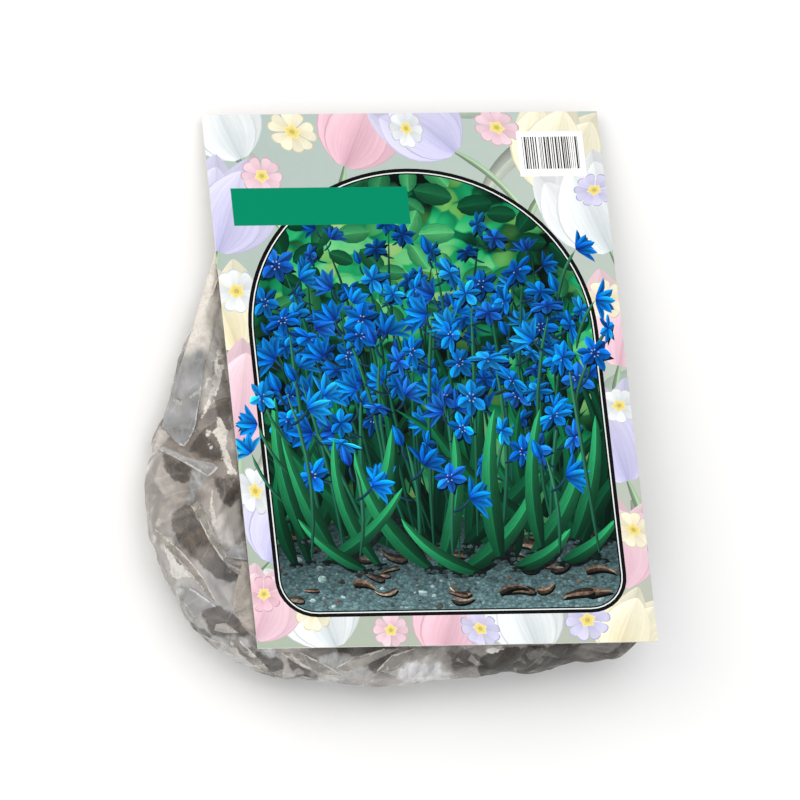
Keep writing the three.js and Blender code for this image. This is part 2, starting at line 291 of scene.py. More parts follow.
def start_shape():
    """A pillow: rings from the middle of the front sheet, over the edge, to the middle of the back sheet."""
    P = spline(EDGE, 24)
    P = np.vstack([P, P[:1]])
    d = np.r_[0, np.cumsum(np.linalg.norm(np.diff(P, axis=0), axis=1))]
    t = np.linspace(0, d[-1], AROUND + 1)[:-1]
    E = np.stack([np.interp(t, d, P[:, k]) for k in range(2)], 1)
    V = E - CENTRE
    far = np.linalg.norm(V, axis=1)
    U = V / far[:, None]

    def point(dd, side):
        y = CENTRE[1] + U[:, 1] * (far - dd)
        x = CENTRE[0] + U[:, 0] * (far - dd)
        full = np.maximum(front_z(y), 1.2)
        r = np.minimum(24, np.maximum(full * 0.9, 4))
        rise = np.where(dd >= r, 1, (1 - np.clip(1 - dd / r, 0, 1) ** 2.3) ** (1 / 2.3))
        empty = np.clip((E[:, 1] - 2) / 42, 0, 1)          # no bulbs up here: the seam hangs near the card
        lip = full * (0.5 + 0.36 * empty * empty * (3 - 2 * empty))
        return np.stack([x, y, lip + side * np.where(side > 0, full - lip, lip) * rise], 1)

    full = np.maximum(front_z(E[:, 1]), 1.2)
    r0 = np.minimum(24, np.maximum(full * 0.9, 4))
    D = []
    for k in range(1, ROUND_RINGS + 1):
        c = math.cos(k / ROUND_RINGS * math.pi / 2)
        D.append(r0 * (1 - max(c, 0) ** (2 / 2.3)))
    last = D[-1]
    for q in range(1, FLAT_RINGS + 1):
        D.append(last + q * 2.2)
    last = D[-1]
    for q in range(1, FAR_RINGS + 1):
        D.append(last + (far - last) * 0.95 * (q / FAR_RINGS) ** 1.2)
    return np.array([point(dd, 1) for dd in D][::-1] + [point(np.zeros(AROUND), 0)] + [point(dd, -1) for dd in D])


def qmat(q):
    x, y, z, w = np.asarray(q) / np.linalg.norm(q)
    return np.array([[1 - 2 * (y * y + z * z), 2 * (x * y - z * w), 2 * (x * z + y * w)],
                     [2 * (x * y + z * w), 1 - 2 * (x * x + z * z), 2 * (y * z - x * w)],
                     [2 * (x * z - y * w), 2 * (y * z + x * w), 1 - 2 * (x * x + y * y)]])


def smooth_field(n1, n2, scale, rng, comps=3):
    f = rng.normal(size=(n1, n2, comps))
    F = np.fft.fft2(f, axes=(0, 1))
    ky = np.fft.fftfreq(n1)[:, None, None] * scale
    kx = np.fft.fftfreq(n2)[None, :, None] * scale
    s = np.real(np.fft.ifft2(F * np.exp(-(kx**2 + ky**2) * 20), axes=(0, 1)))
    return s / s.std()


def drape_film(iters, seed=3, cellcount=620, pull0=0.022, slack=0.03, slack_top=0.055, hold_edge=0.02):
    """Film simulation. Points are moved until the film has its own lengths again, lies outside the bulbs,
    under the card and over the table. It bends easily along the borders of its crease cells only."""
    rng = np.random.default_rng(seed)
    X = start_shape()
    n1, n2 = X.shape[:2]
    mid = (n1 - 1) // 2
    X0 = X.copy()
    upper = np.clip((X0[..., 1] + 8) / 35, 0, 1)
    ex = slack + (slack_top - slack) * upper
    LU = np.linalg.norm(np.roll(X, -1, 1) - X, axis=-1) * (1 + ex)
    LV = np.zeros((n1, n2))
    LV[:-1] = np.linalg.norm(X[1:] - X[:-1], axis=-1) * (1 + 0.6 * ex[:-1])
    D1 = np.zeros((n1, n2))
    D1[:-1] = np.linalg.norm(np.roll(X, -1, 1)[1:] - X[:-1], axis=-1) * (1 + 0.8 * ex[:-1])
    D2 = np.zeros((n1, n2))
    D2[:-1] = np.linalg.norm(np.roll(X, 1, 1)[1:] - X[:-1], axis=-1) * (1 + 0.8 * ex[:-1])
    # crease cells on the film laid flat
    step_u = LU[mid].mean()
    fu = np.broadcast_to((np.arange(n2) * step_u)[None], (n1, n2))
    across = np.r_[0, np.cumsum(LV[:-1].mean(1))]
    across -= across[mid]
    fv = np.broadcast_to(across[:, None], (n1, n2))
    period = n2 * step_u
    g = np.random.default_rng(seed + 5)
    sx = g.uniform(0, period, cellcount)
    sy = np.clip(g.normal(0, 1, cellcount) * 46, across[0], across[-1])
    ang, asp, sc = g.uniform(0, math.pi, cellcount), g.uniform(1, 2.2, cellcount), g.uniform(0.55, 1.7, cellcount)
    best = np.full((n1, n2), 1e9)
    cell = np.zeros((n1, n2), int)
    for k in range(cellcount):
        dx = (fu - sx[k] + period / 2) % period - period / 2
        dy = fv - sy[k]
        a = dx * math.cos(ang[k]) + dy * math.sin(ang[k])
        b = -dx * math.sin(ang[k]) + dy * math.cos(ang[k])
        dd = ((a / asp[k]) ** 2 + (b * asp[k]) ** 2) / sc[k] ** 2
        m = dd < best
        best[m] = dd[m]
        cell[m] = k
    X = X + smooth_field(n1, n2, 4, rng) * 0.6
    B = np.array(BULBS)
    axis = np.array([qmat(b[3:7])[:, 2] for b in BULBS])
    frames = [qmat(b[3:7]) for b in BULBS]
    Ea, Er = B[:, 8] * 0.475, B[:, 7] * 1.02
    Ec = B[:, :3] + axis * (0.01 * B[:, 8])[:, None]
    nose = np.array([[b[10] * 0.75 * math.cos(b[11]), b[10] * 0.75 * math.sin(b[11]), 0.46 * b[8]] for b in BULBS])
    nose = B[:, :3] + np.array([f @ v for f, v in zip(frames, nose)])
    # two bodies a bulb: the round belly and a small ball at its nose
    Ec = np.vstack([Ec, nose])
    Ea = np.r_[Ea, 0.105 * B[:, 8]]
    Er = np.r_[Er, 0.105 * B[:, 8]]
    axis = np.vstack([axis, axis])
    gap = 0.7
    halfH = {k: [np.array([j for j in range(n2) if (j // k) % 2 == off]) for off in range(2)] for k in (1, 2, 4, 8)}
    halfV = {k: [np.array([i for i in range(n1 - k) if (i // k) % 2 == off]) for off in range(2)] for k in (1, 2, 4, 8)}

    def pull(A, Bp, rest, w, stretch):
        d = Bp - A
        l = np.sqrt((d * d).sum(-1)) + 1e-9
        c = l - rest
        if stretch:
            c = np.maximum(c, 0)
        return d * ((0.5 * w * c / l)[..., None])

    def horiz(k, w, rest, stretch=False):
        for idx in halfH[k]:
            jdx = (idx + k) % n2
            m = pull(X[:, idx], X[:, jdx], rest[:, idx], w[:, idx], stretch)
            X[:, idx] += m
            X[:, jdx] -= m

    def vert(k, w, rest, stretch=False):
        for idx in halfV[k]:
            m = pull(X[idx], X[idx + k], rest[idx], w[idx], stretch)
            X[idx] += m
            X[idx + k] -= m

    def diag(s, rest, w):
        for off in range(2):
            idx = np.arange(off, n1 - 1, 2)
            m = pull(X[idx], np.roll(X[idx + 1], -s, axis=1), rest[idx], w, False)
            X[idx] += m
            X[idx + 1] -= np.roll(m, s, axis=1)

    one = np.ones((n1, n2))
    bend = []
    for k, wt in ((2, 0.5), (4, 0.4), (8, 0.25)):
        rh = sum(np.roll(LU, -q, 1) for q in range(k))
        rv = np.zeros((n1, n2))
        for q in range(k):
            rv[: n1 - k] += LV[q : n1 - k + q]
        sh = (cell == np.roll(cell, -k, 1)) * wt + 0.02 * wt
        sv = np.zeros((n1, n2))
        sv[:-k] = (cell[:-k] == cell[k:]) * wt + 0.02 * wt
        bend.append((k, sh, sv, rh * 0.997, rv * 0.997))
    prev = X.copy()
    ends = X0[[0, -1]].copy()
    lip = np.exp(-(((np.arange(n1) - mid) / 3.0) ** 2))[:, None, None] * hold_edge * (1 + 5 * upper[..., None])
    near = None
    for it in range(iters):
        ph = it / iters
        if it % 5 == 0:
            gx = np.roll(X, -1, 1) - np.roll(X, 1, 1)
            gy = np.zeros_like(X)
            gy[1:-1] = X[2:] - X[:-2]
            gy[0], gy[-1] = X[1] - X[0], X[-1] - X[-2]
            N = np.cross(gy, gx)
            N /= np.linalg.norm(N, axis=-1, keepdims=True) + 1e-9
        step = (X - prev) * 0.88
        l = np.linalg.norm(step, axis=-1, keepdims=True)
        step *= np.minimum(1, 0.5 / (l + 1e-9))
        prev = X.copy()
        X += step - N * (pull0 * (1 - ph) ** 0.6)
        X[..., 2] -= 0.003
        X += (X0 - X) * lip
        for _ in range(2):
            horiz(1, one, LU)
            vert(1, one, LV)
            diag(1, D1, 0.5)
            diag(-1, D2, 0.5)
        if it % 2 == 0:
            for k, sh, sv, rh, rv in bend:
                horiz(k, sh, rh)
                vert(k, sv, rv)
        horiz(1, one, LU, True)
        vert(1, one, LV, True)
        flat = X.reshape(-1, 3)
        if it % 12 == 0:
            dd = ((flat[:, None, :] - Ec[None]) ** 2).sum(-1)
            near = np.argpartition(dd - (Er**2)[None], 4, axis=1)[:, :4]
        for q in range(4):
            k = near[:, q]
            d = flat - Ec[k]
            axk = axis[k]
            a = (d * axk).sum(-1)
            ra, rr = Ea[k] + gap, Er[k] + gap
            rad = d - a[:, None] * axk
            s = np.sqrt(a * a / (ra * ra) + (rad**2).sum(-1) / (rr * rr))
            ins = np.where(s < 1)[0]
            if len(ins):
                gg = a[ins, None] * axk[ins] / (ra[ins, None] ** 2) + rad[ins] / (rr[ins, None] ** 2)
                gl = np.linalg.norm(gg, axis=-1) + 1e-9
                flat[ins] += gg / gl[:, None] * np.minimum((1 - s[ins]) * s[ins] / gl, 2.0)[:, None]
        X = flat.reshape(X.shape)
        under = (np.abs(X[..., 0]) < 85.6) & (X[..., 1] > CARD_Y0 - 0.5)
        lim = np.where(under, card_z(X[..., 1]) - 1.15, card_z(X[..., 1]) + 1.0)
        X[..., 2] = np.minimum(X[..., 2], lim)
        F, K = X[:mid], X[mid + 1 :][::-1]
        c = np.clip(0.7 - (F[..., 2] - K[..., 2]), 0, None) * 0.5
        F[..., 2] += c
        K[..., 2] -= c
        X[..., 2] = np.maximum(X[..., 2], 0.25)
        X[0], X[-1] = ends
    return X


FILM = drape_film(360)
print("film", round(time.time() - T_START, 1), "s")


def film_faces(X):
    n1, n2 = X.shape[:2]
    faces = []
    for i in range(n1 - 1):
        for j in range(n2):
            k = (j + 1) % n2
            faces.append((i * n2 + j, (i + 1) * n2 + j, (i + 1) * n2 + k, i * n2 + k))
    return faces


def facet_waves(p, seed, waves):
    """Sum of straight folds: triangle waves in several directions over slightly bent coordinates."""
    g = np.random.default_rng(seed)
    q = p.copy()
    for _ in range(3):
        d = g.normal(size=3)
        d /= np.linalg.norm(d)
        v = g.normal(size=3)
        q = q + np.sin(p @ d / g.uniform(9, 16) + g.uniform(0, 6))[:, None] * v / np.linalg.norm(v) * 1.5
    h = np.zeros(len(p))
    for lam, slope, ang in waves:
        d = np.array([math.cos(ang), math.sin(ang), g.uniform(-0.5, 0.5)])
        d /= np.linalg.norm(d)
        m = np.array([-d[1], d[0], g.uniform(-0.3, 0.3)])
        u = q @ d / lam + g.uniform(0, 9)
        u = u + 0.16 * np.sin(q @ m / lam * 1.7 + g.uniform(0, 6))
        tri = 4 * np.abs(u - np.floor(u + 0.5)) - 1
        strength = np.clip(0.55 + 0.75 * np.sin(q @ d / (lam * 2.3) + g.uniform(0, 6)) * np.sin(q @ m / (lam * 1.9) + g.uniform(0, 6)), 0, 1.2)
        h += tri * strength * lam * slope / 4
    return h


WAVES = [(46, 0.22, 0.45), (37, 0.20, 1.9), (29, 0.17, 2.75), (23, 0.13, 1.15)]


def pixel(p):
    """Points in metres to the 800 x 800 frame, as columns x, y."""
    q = (np.asarray(p) - np.array(CAM_POS)) @ np.array(CAM_AXES)
    return np.stack([400 + 16000 * q[:, 0] / -q[:, 2], 400 - 16000 * q[:, 1] / -q[:, 2]], 1)


def inside(px, poly, soft):
    """1 inside the polygon, 0 outside, over a border of the given width."""
    poly = np.asarray(poly, float)
    x, y = px[:, 0], px[:, 1]
    ins = np.zeros(len(px), bool)
    dist = np.full(len(px), 1e9)
    for (x0, y0), (x1, y1) in zip(poly, np.roll(poly, -1, 0)):
        if y1 != y0:
            ins ^= ((y1 > y) != (y0 > y)) & (x < (x0 - x1) * (y - y1) / (y0 - y1) + x1)
        d = np.array([x1 - x0, y1 - y0])
        t = np.clip(((x - x0) * d[0] + (y - y0) * d[1]) / (d @ d), 0, 1)
        dist = np.minimum(dist, np.hypot(x - x0 - t * d[0], y - y0 - t * d[1]))
    return np.clip(0.5 + np.where(ins, dist, -dist) / soft, 0, 1)


def border(px, poly):
    """Signed distance to the polygon's outline in image units, positive inside."""
    return (inside(px, poly, 64.0) - 0.5) * 64.0


def rough_px(px, seed, size, amount):
    """Moves image points a little, so that a border gets ragged."""
    g = np.random.default_rng(seed)
    out = px.copy()
    for s_, a_ in ((size, amount), (size * 0.45, amount * 0.5)):
        k = g.normal(size=(4, 2))
        k *= (2 * math.pi / s_) / np.linalg.norm(k, axis=1)[:, None]
        ph = g.uniform(0, 6.28, (4, 2))
        for q in range(4):
            w = px @ k[q]
            out += np.stack([np.sin(w + ph[q, 0]), np.sin(w + ph[q, 1])], 1) * a_ * 0.6
    return out


# where the film lies flat on a bulb (clear, with painted shade darkening what shows through), stands off it (hazy), or
# carries a painted highlight (also standing for whitened creases)
CLEAR_ZONES = [      # outline, painted shade: how much darker the bulb shows through
    ([(162, 451), (165, 470), (173, 480), (183, 484), (190, 481), (192, 467)], 0.80),
    ([(186, 504), (173, 513), (171, 528), (183, 548), (203, 566), (218, 579), (238, 583), (238, 574), (223, 561), (208, 538), (196, 514)], 0.80),
    ([(214, 478), (238, 477), (239, 493), (230, 508), (219, 497)], 0.85),
    ([(213, 360), (222, 352), (230, 400), (231, 430), (222, 428), (214, 400)], 0.85),
    ([(200, 430), (216, 420), (222, 440), (226, 460), (214, 462), (190, 450)], 0.80),
    ([(200, 606), (222, 606), (240, 618), (252, 634), (236, 640), (214, 636), (203, 620)], 0.72),
    ([(190, 622), (205, 630), (212, 636), (203, 648), (192, 636)], 0.72),
    ([(254, 650), (275, 650), (284, 663), (283, 684), (266, 680), (256, 664)], 0.62),
    ([(288, 656), (300, 654), (313, 664), (309, 677), (291, 675)], 0.8),
    ([(296, 678), (318, 674), (330, 688), (292, 690)], 0.85),
    ([(334, 644), (380, 642), (400, 644), (381, 652), (352, 655.5), (338, 652)], 0.58),
    ([(354, 669), (383, 653), (399, 650.5), (389, 662), (373, 673)], 0.6),
    ([(447, 652), (468, 650), (480, 656), (474, 667), (455, 670)], 0.78),
    # painted shadow of the card's lower edge over the bag's lower right: the bulbs show much darker here
    ([(482, 656), (500, 648), (560, 644), (660, 638), (648, 656), (604, 668), (520, 682), (484, 682), (477, 668)], 0.32),
]
HAZY_ZONES = [       # outline, haze
    ([(146, 456), (158, 452), (166, 482), (186, 490), (190, 500), (172, 508), (168, 535), (158, 545), (150, 530), (142, 480)], 0.42),
    ([(170, 352), (206, 346), (201, 420), (188, 446), (172, 440), (158, 426)], 0.20),
    ([(213, 522), (226, 506), (238, 500), (243, 530), (232, 548), (216, 540)], 0.86),
    ([(236, 560), (246, 556), (256, 632), (244, 628), (232, 604), (234, 585)], 0.47),
    ([(248, 652), (262, 652), (256, 672), (246, 668)], 0.47),
    ([(446, 646), (486, 644), (488, 684), (458, 684), (450, 670)], 0.26),
    ([(190, 245), (222, 245), (226, 338), (203, 345), (190, 300)], 0.84),
]
# painted highlights: cream-white patches and lines where the film catches the light, partly standing for whitened
# creases
HIGHLIGHT_ZONES = [
    [(164, 543), (176, 558), (180, 566), (183, 563), (191, 578), (183, 577), (175, 579), (172, 577), (169, 566)],
    [(211, 478), (214, 479), (212.5, 503), (215, 520), (217, 529), (213, 527), (209.5, 512), (209.5, 495)],
    [(215, 417), (222, 416), (225, 424), (229, 431), (227, 440), (225, 447), (229, 457), (232, 466), (238, 475), (229, 475.5), (226, 466), (222, 457),
     (221, 447), (216, 438), (213, 432), (217, 427)],
    [(205, 430), (211, 428), (213, 433), (209, 438), (205, 436)], [(207, 444), (212, 443), (213, 449), (208, 449)],
    [(221, 326), (224.5, 328), (219.5, 358), (216, 386), (213, 398), (208, 408), (202, 425), (199, 424), (204, 408), (208, 396), (213, 384), (216, 352)],
    [(204, 384), (209, 376), (211, 378), (206, 389)],
    [(219, 536), (221.5, 535), (223.5, 550), (222, 556)],
    [(216, 258), (221, 280), (224, 310), (227, 345), (219, 352), (215, 330), (215, 300)],
    [(484, 650), (493, 647), (504, 649), (497, 653.5), (488, 652.5)],
    [(221, 364), (224, 366), (219, 385), (215, 404), (212, 403), (215.5, 385)],
]


PAINTED_SHEEN_ZONES = [   # painted sheen: bluish reflections of a softbox; outline, haze
    ([(398, 668), (408, 662), (418, 660), (430, 664), (438, 661.5), (441, 668), (452, 675.5), (440, 678.5), (420, 681), (398, 681)], 0.93),
    ([(398, 653), (414, 647), (430, 646), (416, 652), (400, 656)], 0.62),
    ([(486, 650), (492, 645), (503, 645), (501, 650), (494, 652)], 0.7),
    ([(309, 666), (322, 658), (336, 653), (350, 660), (330, 664)], 0.62),
    ([(316, 668), (326, 661), (337, 658), (352, 662), (368, 668), (374, 674), (352, 676), (338, 680), (330, 685), (321, 684)], 0.60),
    ([(318, 688), (323, 683), (334, 675), (341, 673), (332, 684), (326, 688)], 0.85),
    ([(256, 650.5), (262, 648.5), (275, 648.5), (282, 660), (270, 657)], 0.8),
    ([(213, 652), (219, 643), (226, 635.5), (236, 634), (247, 640), (254, 645), (243, 647), (232, 650), (228, 655), (224, 662), (217, 657)], 0.52),
    ([(229, 656), (240, 654), (252, 662), (262, 673), (252, 671), (238, 664)], 0.6),
    ([(174, 588), (181, 586), (188, 587), (199, 593), (213, 604), (201, 610), (193, 620), (186, 611), (179, 598)], 0.55),
    ([(192, 467), (208, 476), (203, 484), (197, 492), (193, 505), (190, 498), (190.5, 484)], 0.5),
]
# the third and fourth fields place painted highlights, the sixth is painted shade on what shows through, the seventh
# and eighth place painted sheen
FIELDS = ("haze", "cool", "white", "highlight_strength", "clear", "dim", "blue", "sheen_haze", "side")


def film_look(co, nor, away):
    """Values for each point of the film, in the order of FIELDS. white, clear and blue are signed distances
    to the borders of painted highlights, clear areas and painted bluish sheen; the material turns them into sharp,
    ragged borders."""
    px = pixel(co)
    view = np.array(CAM_POS) - co
    view /= np.linalg.norm(view, axis=1)[:, None]
    towards = (nor * view).sum(1)
    front = towards > -0.42                              # areas run on a little round the bulge
    t = np.clip((away - 0.5) / 3.4, 0, 1)
    haze = 0.23 + 0.32 * t * t * (3 - 2 * t)
    lit = np.clip((towards + 0.05) / 0.62, 0, 1)
    haze = haze * (0.26 + 0.74 * lit * lit * (3 - 2 * lit))
    ragged = rough_px(px, 5, 13.0, 0.9)
    for z, hz in HAZY_ZONES:
        m = inside(ragged, z, 5.0) * front
        haze = haze * (1 - m) + hz * m
    away_ = np.where(front, 0.0, -30.0)
    # the shade factor is painted shade: 1 leaves what shows through a clear area as it is, lower darkens it
    clear, dim = np.full(len(co), -9.0), np.full(len(co), 0.8)
    for z, zone_shade_factor in CLEAR_ZONES:
        d = border(ragged, z) + away_
        dim = np.where(d > clear, zone_shade_factor, dim)
        clear = np.maximum(clear, d)
    # round the sides and underneath the film is clear where it lies on a bulb, with a little painted shade on what
    # shows through
    wob = np.sin(co[:, 0] * 310 + 1.3 * np.sin(co[:, 2] * 420)) * np.sin(co[:, 1] * 270 + 1.1 * np.sin(co[:, 2] * 350 + 2))
    touch = 2.6 - 1.15 * away + 0.9 * wob - np.clip(towards - 0.10, 0, 1) * 34
    dim = np.where(touch > clear, 0.93, dim)
    clear = np.maximum(clear, touch)
    # painted highlights
    white = np.full(len(co), -9.0)
    jag = rough_px(px, 9, 16.0, 0.7)
    for z in HIGHLIGHT_ZONES:
        white = np.maximum(white, border(jag, z) + away_)
    cool = 0.35 + 0.3 * np.sin(co[:, 0] * 70 + 1) * np.sin(co[:, 1] * 55)
    soft = rough_px(px, 12, 17.0, 1.2)
    # painted sheen: bluish reflections of a softbox on the film
    blue, sheen_haze = np.full(len(co), -9.0), np.full(len(co), 0.6)
    for z, hz in PAINTED_SHEEN_ZONES:
        d = border(soft, z) + away_
        sheen_haze = np.where(d > blue, hz, sheen_haze)
        blue = np.maximum(blue, d)
    return (haze, np.clip(cool, 0, 1), np.clip(white, -9, 9), np.full(len(co), 0.92), np.clip(clear, -9, 9), dim,
            np.clip(blue, -9, 9), sheen_haze, np.clip(1 - (towards - 0.02) / 0.30, 0, 1))


def mesh_arrays(me):
    v = np.empty(len(me.vertices) * 3)
    me.vertices.foreach_get("co", v)
    n = np.empty(len(me.vertices) * 3)
    me.vertices.foreach_get("normal", n)
    return v.reshape(-1, 3), n.reshape(-1, 3)


def distance_to_bulbs(tree, pts):
    out = np.empty(len(pts))
    for i, p in enumerate(pts):
        hit = tree.find_nearest(p, 0.009)
        out[i] = hit[3] * 1000 if hit[0] is not None else 9.0
    return out


def build_bag(mats, tree):
    X = FILM
    n1, n2 = X.shape[:2]
    verts = [tuple(v) for v in world(X.reshape(-1, 3))]
    faces = film_faces(X)
    for row, up in ((0, True), (n1 - 1, False)):      # the small opening left in the middle of each side
        for j in range(n2 // 2):
            q = [row * n2 + j, row * n2 + j + 1, row * n2 + (n2 - 1 - j) % n2, row * n2 + (n2 - j) % n2]
            q = [v for i, v in enumerate(q) if v not in q[:i]]
            faces.append(tuple(q) if up else tuple(q[::-1]))
    ob = add_mesh("film_bag_look", verts, faces, mats)
    sub = ob.modifiers.new("smooth", "SUBSURF")
    sub.levels = sub.render_levels = 1
    dg = bpy.context.evaluated_depsgraph_get()
    me = bpy.data.meshes.new_from_object(ob.evaluated_get(dg), depsgraph=dg)
    ob.modifiers.clear()
    old, ob.data = ob.data, me
    bpy.data.meshes.remove(old)
    # straight folds where the film is free of the bulbs
    co, nor = mesh_arrays(me)
    away = distance_to_bulbs(tree, co)
    h = facet_waves(co * 1000, 41, WAVES)
    free = np.clip((away - 0.7) / 3.2, 0, 1)
    h = np.clip(h * (0.14 + 0.86 * free), -(away - 0.35) * 0.8, 1.5)
    pos = co * 1000 - SHIFT
    room = np.where((np.abs(pos[:, 0]) < 86) & (pos[:, 1] > CARD_Y0 - 1), card_z(pos[:, 1]) - 1.0 - pos[:, 2], 9.0)
    up = np.maximum(nor[:, 2], 0.05)
    h = np.minimum(h, np.clip(room, 0, None) / up)
    down = np.maximum(-nor[:, 2], 0.05)
    h = np.minimum(h, np.clip(pos[:, 2] - 0.15, 0, None) / down)
    h *= np.clip(pos[:, 2] / 7.0, 0.06, 1)
    co = co + nor * (h * MM)[:, None]
    pos = co * 1000 - SHIFT                              # nothing stands through the card
    under = (np.abs(pos[:, 0]) < 86) & (pos[:, 1] > CARD_Y0 - 1)
    co[:, 2] -= np.where(under, np.maximum(pos[:, 2] - card_z(pos[:, 1]) + 1.0, 0), 0) * MM
    co[:, 2] = np.maximum(co[:, 2], 0.0002)
    me.vertices.foreach_set("co", co.ravel())
    me.update()
    co, nor = mesh_arrays(me)
    away = distance_to_bulbs(tree, co)
    for name, values in zip(FIELDS, film_look(co, nor, away)):
        me.attributes.new(name, "FLOAT", "POINT").data.foreach_set("value", values.astype(np.float32))
    me.polygons.foreach_set("use_smooth", [True] * len(me.polygons))
    return ob


# ------------------------------------------------------------------ doubled film: folds that lie over the bag's wall
# outline in the 800 x 800 frame, haze, painted highlight strength, coolness, [edge line with a painted highlight], lift
# in mm
FOLDS = [
    ([(215.5, 247), (212.5, 262), (206, 282), (200, 303), (193.5, 325), (186, 348), (178.5, 371), (171, 394), (165, 412), (161.5, 426),
      (168, 434), (174.5, 441), (180, 445.5), (184, 446.5), (188.5, 441), (193, 432), (196, 424), (198.5, 404), (202, 388),
      (205, 366), (210, 346), (215, 326), (221, 304), (222.5, 286), (220, 264), (217.5, 250)], 0.23, 0.0, 1.0,
     [(203, 382), (199.5, 402), (196.5, 423), (189, 440.5), (184, 446), (175, 441)], 0.9),
    ([(158, 447.5), (163, 446.5), (172, 450), (185, 456), (200, 461), (213, 463), (218.5, 467.5), (214, 473), (208, 476.5), (197, 470.5),
      (184, 462.5), (172, 456), (161, 451)], 0.33, 0.0, 0.8, [(161, 451), (184, 462.5), (208, 476.5), (218.5, 467.5)], 0.8),
    ([(223, 556), (230, 549), (238, 543), (246, 540.5), (248, 560), (235, 558.5)], 0.30, 0.0, 1.0, [(223, 556), (238, 559), (248, 560.5)], 0.7),
    ([(223.5, 558.5), (246, 563), (246, 567), (232, 564)], 0.3, 0.1, 0.4, [(223.5, 558.5), (246, 563)], 0.6),
    ([(226, 563), (243, 571), (240, 577), (233, 570)], 0.22, 0.0, 0.4, [(226, 563), (243, 571)], 0.6),
    ([(174.5, 588), (180, 586.5), (186.5, 586.8), (193, 589.5), (199.7, 594), (208, 600), (216.5, 607), (209, 608), (201.5, 611),
      (197, 615.5), (193, 621), (189, 616), (186, 611), (182.5, 604.5), (179, 598)], 0.26, 0.0, 1.0,
     [(175, 588), (186.5, 586.8), (199.7, 594), (216.5, 607)], 0.7),
    ([(243, 561), (249, 562), (252, 590), (256, 620), (259, 640), (250, 634), (243, 627), (236.5, 615), (232.5, 602), (234.5, 589), (238.5, 575)],
     0.24, 0.05, 0.2, [(243, 561), (238.5, 575), (234.5, 589), (232.5, 602), (236.5, 615)], 0.8),
    ([(214, 630.5), (216, 624), (226, 623), (239, 633), (228, 633.5)], 0.28, 0.1, 0.5, [(214, 630.5), (228, 633.5), (239, 633)], 0.6),
    ([(191, 506), (196, 514), (208, 538), (223, 561.5), (228, 556), (216, 536), (205, 512), (197, 500)], 0.16, 0.0, 0.4, [(191, 506), (208, 538), (223, 561.5)], 0.6),
    ([(155, 529), (170, 541), (185, 555), (204, 578), (217, 603), (208, 596), (192, 576), (176, 558), (162, 543)], 0.14, 0.0, 0.3,
     [(155, 529), (170, 541), (185, 555), (204, 578), (217, 603)], 0.6),
    ([(228, 640), (240, 640), (256, 656), (268, 668), (277, 679), (266, 674), (250, 663), (236, 651)], 0.16, 0.0, 0.45,
     [(240, 640), (256, 656), (268, 668), (277, 679)], 0.6),
    ([(280, 653), (300, 652), (318, 661), (334, 669), (342, 676), (322, 675), (302, 667)], 0.17, 0.0, 0.45,
     [(300, 652), (318, 661), (334, 669), (342, 676)], 0.6),
    ([(336, 667), (356, 657), (384, 648.5), (400, 648.5), (380, 658), (358, 669), (344, 675)], 0.18, 0.0, 0.5, [(336, 667), (356, 657), (384, 648.5)], 0.6),
    ([(376, 671), (392, 655), (416, 648), (442, 647), (426, 655), (402, 665), (388, 673)], 0.2, 0.0, 0.5, [(376, 671), (392, 655), (416, 648)], 0.5),
]
VENT_PX, VENT_R_PX = (178, 401), 3.4


def near_line(px, line):
    out = np.full(len(px), 1e9)
    for (x0, y0), (x1, y1) in zip(line[:-1], line[1:]):
        d = np.array([x1 - x0, y1 - y0], float)
        t = np.clip(((px[:, 0] - x0) * d[0] + (px[:, 1] - y0) * d[1]) / (d @ d), 0, 1)
        out = np.minimum(out, np.hypot(px[:, 0] - x0 - t * d[0], px[:, 1] - y0 - t * d[1]))
    return out


